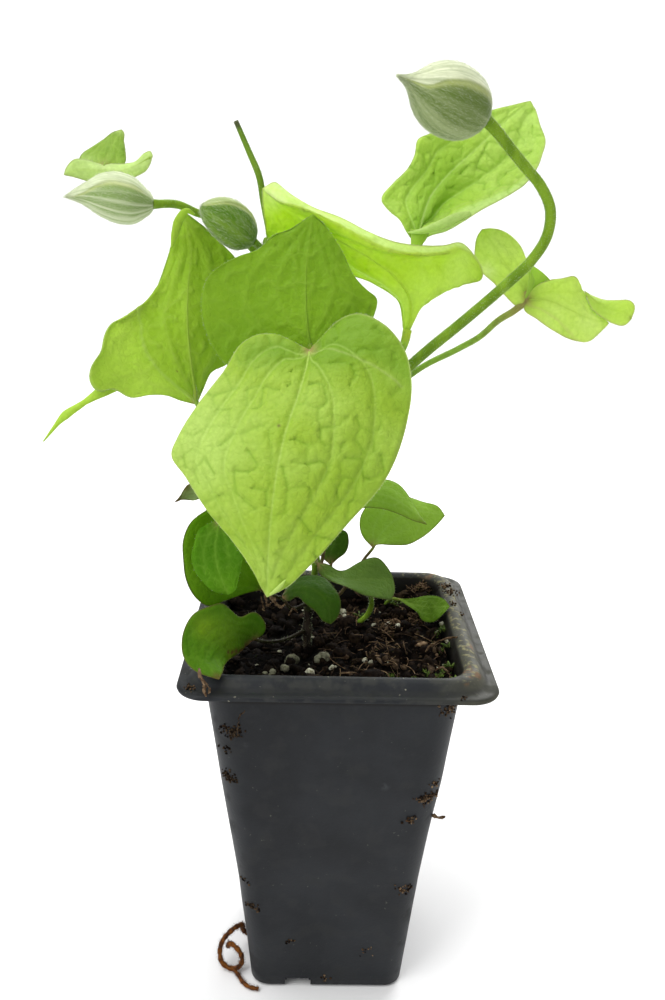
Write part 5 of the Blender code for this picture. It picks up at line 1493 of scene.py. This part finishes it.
def make_root(draw):
    """The curled root and its branch, with a coat of root hairs."""
    shape, coat = Shape(), Shape()
    for points, radius in ((ROOT_LOOP, ROOT_RADIUS), (ROOT_BRANCH, BRANCH_RADIUS)):
        length = distances(np.array(points, dtype=float))[-1]
        count = int(length * 4)
        line = smooth_line(points, np.linspace(0, 1, count))
        radii = radius * (1 + 0.12 * np.sin(np.arange(count) * 0.9) + draw.normal(0, 0.05, count))
        rings, out = add_tube(shape, line, radii, 12)
        roots, outward, _ = scatter_on(rings, out, int(length * ROOT_HAIRS_PER_MM), draw)
        ways = outward + draw.normal(0, 0.5, roots.shape)
        ways[:, 2] = np.where(roots[:, 2] < 1.0, np.abs(ways[:, 2]), ways[:, 2])
        add_hairs(coat, roots, ways, 0.7, HAIR_WIDTH, draw)
    place(shape.object("root_fine", root_material()), "root_brown", "root")
    place(coat.object("root_coat", hair_material("root_hair", ROOT_HAIR)), "root_brown")


def new_material(name, **settings):
    """A material, its node tree and its shader, with plain settings on the shader's sockets."""
    material = bpy.data.materials.new(name)
    material.use_nodes = True
    shader = material.node_tree.nodes["Principled BSDF"]
    for socket, value in settings.items():
        shader.inputs[socket.replace("_", " ")].default_value = value
    return material, material.node_tree, shader


def node(tree, kind, links=None, **settings):
    """A new node. Links gives sockets, or plain values, for its inputs."""
    item = tree.nodes.new(kind)
    for key, value in settings.items():
        setattr(item, key, value)
    for socket, value in (links or {}).items():
        if isinstance(value, bpy.types.NodeSocket):
            tree.links.new(value, item.inputs[socket])
        else:
            item.inputs[socket].default_value = value
    return item


def place_of(tree):
    """The place of a point in its object."""
    return node(tree, "ShaderNodeTexCoord").outputs["Object"]


def along(tree, axis):
    """The place of a point along an axis, in metres."""
    return node(tree, "ShaderNodeSeparateXYZ", {0: place_of(tree)}).outputs[axis]


def attribute(tree, name):
    """The value that the mesh holds under a name."""
    return node(tree, "ShaderNodeAttribute", attribute_name=name).outputs["Fac"]


def noise_at(tree, vector, scale, detail):
    """Noise of a vector, and the random colour that goes with it."""
    return node(tree, "ShaderNodeTexNoise", {"Vector": vector, "Scale": scale, "Detail": detail}).outputs


def noise(tree, size, detail=4.0, stretch=None):
    """Soft random patches about this many millimetres across."""
    vector = place_of(tree)
    if stretch is not None:
        vector = node(tree, "ShaderNodeMapping", {"Vector": vector, "Scale": stretch}).outputs["Vector"]
    return noise_at(tree, vector, 1 / (size * MM), detail)["Fac"]


def cells(tree, size):
    """Distance to the nearest border of cells about this many millimetres across, with bent edges."""
    bent = noise_at(tree, place_of(tree), 0.5 / (size * MM), 2.0)["Color"]
    shift = node(tree, "ShaderNodeVectorMath", {0: bent, 1: (size * MM * 0.9,) * 3}, operation="MULTIPLY")
    links = {0: place_of(tree), 1: shift.outputs[0]}
    links = {"Vector": node(tree, "ShaderNodeVectorMath", links, operation="ADD").outputs[0],
             "Scale": 1 / (size * MM)}
    return node(tree, "ShaderNodeTexVoronoi", links, feature="DISTANCE_TO_EDGE").outputs["Distance"]


def fit(tree, value, low, high, to_low=0.0, to_high=1.0):
    """Stretch a range of values to another, clamped."""
    links = {"Value": value, "From Min": low, "From Max": high, "To Min": to_low, "To Max": to_high}
    return node(tree, "ShaderNodeMapRange", links, interpolation_type="SMOOTHSTEP").outputs["Result"]


def fit_mm(tree, value, low, high, *results):
    """Fit a distance, with the limits of its range in millimetres."""
    return fit(tree, value, low * MM, high * MM, *results)


def patches(tree, size, low, high, detail=4.0, stretch=None):
    """Noise fitted from 0 to 1 between two limits."""
    return fit(tree, noise(tree, size, detail, stretch), low, high)


def mix(tree, factor, low, high):
    """Mix two colours."""
    links = {0: factor}
    for socket, colour in ((6, low), (7, high)):
        links[socket] = colour if isinstance(colour, bpy.types.NodeSocket) else (*colour, 1.0)
    return node(tree, "ShaderNodeMix", links, data_type="RGBA").outputs[2]


def product(tree, first, second):
    """One value times another."""
    return node(tree, "ShaderNodeMath", {0: first, 1: second}, operation="MULTIPLY").outputs[0]


def total(tree, first, second):
    """The sum of two values."""
    return node(tree, "ShaderNodeMath", {0: first, 1: second}, operation="ADD").outputs[0]


def tint(tree, colour, mask, share, other):
    """Turn a colour into another by a share where the mask is 1."""
    return mix(tree, product(tree, mask, share), colour, other)


def coat(tree, shader, colour, relief, depth, strength=1.0):
    """Give a shader its colour, and its relief of this many millimetres from a value."""
    tree.links.new(colour, shader.inputs["Base Color"])
    links = {"Height": relief, "Distance": depth * MM, "Strength": strength}
    tree.links.new(node(tree, "ShaderNodeBump", links).outputs["Normal"], shader.inputs["Normal"])


def let_light_through(tree, shader, colour, share):
    """Mix a shader with light that comes through from behind."""
    through = node(tree, "ShaderNodeBsdfTranslucent", {"Color": colour})
    blend = node(tree, "ShaderNodeMixShader", {0: share, 1: shader.outputs[0], 2: through.outputs[0]})
    out = next(item for item in tree.nodes if item.type == "OUTPUT_MATERIAL")
    tree.links.new(blend.outputs[0], out.inputs["Surface"])


@functools.cache
def leaf_material(look):
    """Leaf skin: two greens, painted light and shade, withered patches, veins, creases, margin and stalk."""
    body, light, vein, margin, stalk, through = LOOKS[look]
    # The body darkened: the colour of painted shade and of darker spots.
    deep = (body[0] * 0.45, body[1] * 0.62, body[2] * 0.30)
    middle = tuple((low * 3 + high) / 4 for low, high in zip(body, light))
    groove_shade = look in GROOVED_LOOKS
    if look in PALE_LOOKS + MID_LOOKS:
        settings = {"Roughness": 0.55, "Specular_IOR_Level": 0.22,
                    "Sheen_Weight": 0.06, "Sheen_Roughness": 0.4}
    else:
        settings = {"Roughness": 0.5, "Specular_IOR_Level": 0.08}
    material, tree, shader = new_material("leaf_" + look, **settings)
    net = fit(tree, cells(tree, 1.3), 0.0, 0.2, 1.0, 0.0)
    colour = mix(tree, patches(tree, 9.0, 0.3, 0.75), body, middle)
    # Painted light and shade from the lighter and deeper marks of patches, creases and strips.
    colour = tint(tree, colour, attribute(tree, "lighter"), 0.85, light)
    colour = tint(tree, colour, attribute(tree, "deeper"), 0.75, deep)
    colour = tint(tree, colour, net, 0.07, vein)
    # In the grooved looks the net, with the bands beside the main veins, is painted shade in the grooves.
    colour = tint(tree, colour, attribute(tree, "net"), 0.55 if groove_shade else 0.32, deep if groove_shade else vein)
    colour = tint(tree, colour, attribute(tree, "vein"), 0.5, light if groove_shade else vein)
    colour = tint(tree, colour, patches(tree, 0.8, 0.35, 0.65), 0.14, deep)
    colour = tint(tree, colour, patches(tree, 1.3, 0.74, 0.80, 2.0), 0.35, deep)
    colour = tint(tree, colour, attribute(tree, "crease"), 0.35, margin)
    colour = tint(tree, colour, attribute(tree, "edge"), 0.7, margin)
    colour = mix(tree, attribute(tree, "withered"), colour, WITHERED)
    stalk_tone = mix(tree, patches(tree, 1.5, 0.35, 0.65), stalk, tuple(part * 1.4 for part in stalk))
    colour = mix(tree, attribute(tree, "stalk"), colour, stalk_tone)
    colour = tint(tree, colour, attribute(tree, "joint"), 0.7, JOINT)
    relief = total(tree, product(tree, net, -0.35), product(tree, noise(tree, 0.45, 3.0), 0.5))
    coat(tree, shader, colour, relief, 0.13, 0.9)
    let_light_through(tree, shader, mix(tree, 0.35, colour, LEAF_GLOW), through)
    return material


def bud_material(name):
    """Sepals under silky hairs that lie along the bud: green and silver, with painted shade under the upper
    sepal's edge."""
    _, _, rib_tone, green, silver, white = BUD_LOOKS[name]
    material, tree, shader = new_material(name + "_skin", Roughness=0.8, Sheen_Weight=0.35,
                                          Sheen_Roughness=0.35, Specular_IOR_Level=0.12)
    silk = node(tree, "ShaderNodeCombineXYZ", {
        "X": attribute(tree, "round_x"), "Y": attribute(tree, "round_y"),
        "Z": product(tree, attribute(tree, "along"), 0.25)}).outputs[0]
    streaks = noise_at(tree, silk, 9.0, 6.0)["Fac"]
    broad = noise_at(tree, silk, 2.0, 1.0)["Fac"]
    paleness = fit(tree, streaks, 0.30, 0.70, 0.25, 0.75)
    paleness = total(tree, paleness, fit(tree, broad, 0.3, 0.7, -0.12, 0.12))
    ribbed = fit(tree, attribute(tree, "rib"), 0.0, 1.0, -rib_tone / 2, rib_tone / 2)
    paleness = total(tree, paleness, ribbed)
    # Painted shade below the upper sepal's edge.
    paleness = total(tree, paleness, product(tree, attribute(tree, "shade"), -0.55))
    colour = mix(tree, fit(tree, paleness, -0.1, 1.0), green, silver)
    fine = fit(tree, streaks, 0.35, 0.65, 0.50, 1.0)
    # The upper sepal's whiter hairs, partly painted light on the bud's top.
    colour = tint(tree, colour, attribute(tree, "over"), fine, white)
    colour = tint(tree, colour, attribute(tree, "lip"), 0.6, SEPAL_LIP)
    coat(tree, shader, colour, total(tree, streaks, product(tree, noise(tree, 0.25, 3.0), 0.3)), 0.08)
    return material


def hair_material(name, colour):
    """Fine hairs, a little varied along and across the plant."""
    material, tree, shader = new_material(name, Roughness=0.6, Sheen_Weight=0.3)
    shade = mix(tree, patches(tree, 1.0, 0.3, 0.7), tuple(part * 0.75 for part in colour), colour)
    coat(tree, shader, shade, noise(tree, 0.2), 0.02)
    let_light_through(tree, shader, shade, 0.3)
    return material


@functools.cache
def stem_material():
    """Green stem skin: woody, brown and in painted shade at its foot, darker higher up, dried at the cut."""
    material, tree, shader = new_material("stem", Roughness=0.55, Sheen_Weight=0.05, Specular_IOR_Level=0.12)
    colour = mix(tree, patches(tree, 3.0, 0.35, 0.65, stretch=(1, 1, 0.3)), *STEM_GREENS)
    # Bark at the foot, its dark partly painted shade.
    shaded_bark = mix(tree, patches(tree, 1.2, 0.4, 0.6, stretch=(1, 1, 0.25)), *STEM_SHADED_BARK)
    colour = mix(tree, attribute(tree, "woody"), colour, shaded_bark)
    # Darker higher up the stem.
    colour = tint(tree, colour, attribute(tree, "aged"), 0.4, STEM_UPPER_TINT)
    colour = mix(tree, attribute(tree, "cut"), colour, STEM_CUT)
    coat(tree, shader, colour, noise(tree, 0.5, stretch=(1, 1, 0.3)), 0.06)
    return material


def pot_material():
    """Thin grey-black plastic, dusty and scuffed, with specks of soil and a cream crust inside the rim."""
    material, tree, shader = new_material("pot", Specular_IOR_Level=0.18)
    across, deep, level = [along(tree, axis) for axis in "XYZ"]
    colour = mix(tree, patches(tree, 16.0, 0.3, 0.7, 5.0), *POT_BLACKS)
    dust = patches(tree, 5.0, 0.5, 0.75, 8.0)
    colour = tint(tree, colour, dust, 0.42, POT_DUST)
    on_rim = fit_mm(tree, level, 81.5, 82.5)
    grime = product(tree, on_rim, patches(tree, 3.0, 0.45, 0.65, 8.0))
    colour = tint(tree, colour, grime, 0.5, RIM_GRIME)
    powder = product(tree, on_rim, fit_mm(tree, across, 16, 30))
    powder = product(tree, powder, fit(tree, noise(tree, 2.0, 6.0), 0.25, 0.75, 0.65, 1.0))
    colour = tint(tree, colour, powder, 0.34, RIM_POWDER)
    specks = total(tree, product(tree, on_rim, 0.7), 0.15)
    specks = product(tree, patches(tree, 0.8, 0.72, 0.78, 2.0), specks)
    colour = mix(tree, specks, colour, POT_SPECKS)
    for *spot, size in SCUFFS:
        links = {0: place_of(tree), 1: Vector(spot) * MM}
        away = node(tree, "ShaderNodeVectorMath", links, operation="DISTANCE").outputs["Value"]
        scuff = product(tree, fit_mm(tree, away, size, 0.0), patches(tree, 1.0, 0.42, 0.62, 6.0))
        colour = tint(tree, colour, scuff, 0.8, POT_SCUFF)
    # Painted shade in the groove of the rim's lip.
    groove_shade = product(tree, fit_mm(tree, level, 83.3, 83.6), fit_mm(tree, level, 84.6, 84.0))
    colour = tint(tree, colour, groove_shade, 0.5, RIM_GROOVE_SHADE)
    # Darker on the inside of the wall, between the soil and the crest.
    inner_dark = product(tree, fit_mm(tree, level, 78.5, 79.5), fit_mm(tree, level, 85.7, 84.9))
    for axis, shift in ((across, 0.8), (deep, 0.0)):
        away = node(tree, "ShaderNodeMath", {0: total(tree, axis, shift * MM)}, operation="ABSOLUTE")
        inner_dark = product(tree, inner_dark, fit_mm(tree, away.outputs[0], 26.4, 26.1))
    colour = tint(tree, colour, inner_dark, 0.9, INNER_WALL_DARK)
    right = fit_mm(tree, across, 22.5, 25.5)
    back = fit_mm(tree, deep, 23.5, 26.5)
    crust = product(tree, fit_mm(tree, level, 84.8, 85.6), fit_mm(tree, across, 29.5, 28.5))
    crust = product(tree, crust, total(tree, right, product(tree, back, 0.5)))
    chalk = product(tree, crust, patches(tree, 1.3, 0.50, 0.66, 12.0))
    colour = tint(tree, colour, chalk, 0.7, POT_CHALK)
    rust = product(tree, crust, patches(tree, 4.0, 0.60, 0.68, 6.0))
    colour = tint(tree, colour, rust, 0.8, POT_RUST)
    rough = fit(tree, total(tree, total(tree, dust, chalk), product(tree, grime, 0.7)), 0.0, 1.0, 0.50, 0.74)
    tree.links.new(rough, shader.inputs["Roughness"])
    relief = total(tree, noise(tree, 0.6, 3.0), product(tree, total(tree, chalk, specks), 0.7))
    coat(tree, shader, colour, relief, 0.06, 0.6)
    return material


def soil_material():
    """Damp dark peat, with painted shade that darkens it towards the left."""
    material, tree, shader = new_material("soil", Roughness=0.9, Specular_IOR_Level=0.03)
    colour = mix(tree, patches(tree, 1.2, 0.4, 0.75, 6.0), *SOIL_BROWNS)
    # Painted shade of the leaves: darker towards the left.
    colour = mix(tree, fit_mm(tree, along(tree, "X"), 6, -12, 0.0, 0.8), colour, SOIL_SHADE)
    coat(tree, shader, colour, noise(tree, 0.5, 8.0), 0.5)
    return material


@functools.cache
def crumb_material():
    """Peat, bark and fibres, from black-brown to orange-brown, with painted shade low on the left."""
    material, tree, shader = new_material("crumb", Roughness=0.85, Specular_IOR_Level=0.05)
    dark, bright = [mix(tree, patches(tree, 0.8, 0.3, 0.7), *tones) for tones in (PEAT_BROWNS, BARK_BROWNS)]
    colour = mix(tree, attribute(tree, "tone"), dark, bright)
    # Painted shade of the leaves, low on the left.
    low = fit_mm(tree, along(tree, "Z"), 84, 82)
    shaded = product(tree, fit_mm(tree, along(tree, "X"), 6, -12, 0.0, 0.65), low)
    colour = mix(tree, shaded, colour, CRUMB_SHADE)
    coat(tree, shader, colour, noise(tree, 0.25, 6.0), 0.2)
    return material


def perlite_material():
    """White puffed grains, stained by the soil."""
    material, tree, shader = new_material("perlite", Roughness=0.9, Specular_IOR_Level=0.2)
    stained = mix(tree, patches(tree, 1.0, 0.35, 0.65, 5.0), *PERLITE_STAINED)
    clean = mix(tree, patches(tree, 1.0, 0.30, 0.60, 5.0), *PERLITE_CLEAN)
    colour = mix(tree, attribute(tree, "white"), stained, clean)
    coat(tree, shader, colour, noise(tree, 0.3, 6.0), 0.25)
    return material


def moss_material():
    """Bright tips of moss and seedlings."""
    material, tree, shader = new_material("moss", Roughness=0.7)
    coat(tree, shader, mix(tree, patches(tree, 0.9, 0.3, 0.7), *MOSS_GREENS), noise(tree, 0.2), 0.05)
    return material


def root_material():
    """Orange-brown root bark, scaly."""
    material, tree, shader = new_material("root", Roughness=0.65, Specular_IOR_Level=0.15)
    colour = mix(tree, patches(tree, 0.9, 0.35, 0.65, 6.0), *ROOT_BROWNS)
    coat(tree, shader, colour, noise(tree, 0.35, 6.0), 0.15)
    return material


def floor_material():
    """Pale matt paper."""
    material, tree, shader = new_material("floor_paper", Roughness=0.9, Specular_IOR_Level=0.1)
    coat(tree, shader, mix(tree, noise(tree, 40.0), *FLOOR_WHITES), noise(tree, 0.4), 0.01)
    return material


def make_stage():
    """A pale floor that curves up into a wall behind the plant."""
    angles = np.linspace(0.0, math.pi / 2, 24)
    curve = [(FLOOR_BACK + FLOOR_CURVE * math.sin(angle), FLOOR_CURVE - FLOOR_CURVE * math.cos(angle))
             for angle in angles]
    line = [(FLOOR_FRONT, 0.0), *curve, (FLOOR_BACK + FLOOR_CURVE, WALL_TOP)]
    points = [(x, y, z) for y, z in line for x in (-FLOOR_HALF_WIDTH, FLOOR_HALF_WIDTH)]
    mesh = bpy.data.meshes.new("floor")
    mesh.from_pydata(points, [], grid_faces(len(line), 2).tolist())
    mesh.shade_smooth()
    mesh.materials.append(floor_material())
    add_object("floor", mesh)


def make_light(name, at, target, size, power):
    """A soft square lamp that looks at its target."""
    lamp = bpy.data.lights.new(name, "AREA")
    lamp.size = size
    lamp.energy = power
    item = add_object(name, lamp)
    item.location = at
    item.rotation_euler = (Vector(target) - Vector(at)).to_track_quat("-Z", "Y").to_euler()


def make_lights():
    """The even light of the surroundings, and the lamps."""
    world = bpy.data.worlds.new("studio")
    world.use_nodes = True
    background = world.node_tree.nodes["Background"]
    background.inputs["Color"].default_value = (1.0, 1.0, 1.0, 1.0)
    background.inputs["Strength"].default_value = WORLD_LIGHT
    bpy.context.scene.world = world
    for lamp in LAMPS:
        make_light(*lamp)
    bpy.context.scene.view_settings.view_transform = "Standard"


def make_camera():
    """The photo's camera."""
    pitch, yaw, roll = (math.radians(turn) for turn in (CAMERA_PITCH, CAMERA_YAW, CAMERA_ROLL))
    ahead = Vector((math.sin(yaw) * math.cos(pitch), math.cos(yaw) * math.cos(pitch), -math.sin(pitch)))
    level = Vector((math.cos(yaw), -math.sin(yaw), 0.0))
    down = ahead.cross(level)
    right = level * math.cos(roll) + down * math.sin(roll)
    up = level * math.sin(roll) - down * math.cos(roll)
    camera = bpy.data.cameras.new("camera")
    camera.lens = CAMERA_LENS
    camera.sensor_width = CAMERA_SENSOR
    camera.clip_start = 0.01
    item = add_object("camera", camera)
    facing = Matrix((right, up, -ahead)).transposed().to_4x4()
    item.matrix_world = Matrix.Translation(Vector(CAMERA_AT) * MM) @ facing
    bpy.context.scene.camera = item


def main():
    """Build the scene. All pieces share one run of random draws, so their order matters."""
    draw = np.random.default_rng(SEED)
    make_camera()
    make_lights()
    make_stage()
    make_pot()
    make_soil()
    make_crumbs(draw)
    make_fibres(draw)
    make_stones(draw)
    make_moss(draw)
    make_dirt(draw)
    make_root(draw)
    stem_hairs, fringe, wool = Shape(), Shape(), Shape()
    make_stems(stem_hairs, draw)
    for name in BUDS:
        make_bud(name, wool, draw)
    folds = [fold for group in FOLDS.values() for fold in group]
    for name in LEAVES:
        if name not in folds:
            make_leaf(name, stem_hairs, fringe, draw)
    place(stem_hairs.object("stem_hairs", hair_material("stem_hair", STEM_HAIR)), "stem_green")
    place(fringe.object("leaf_fringes", hair_material("leaf_hair", LEAF_HAIR)), "leaf_pale")
    place(wool.object("bud_wool_hairs", hair_material("bud_hair", BUD_HAIR)), "bud_wool")


main()
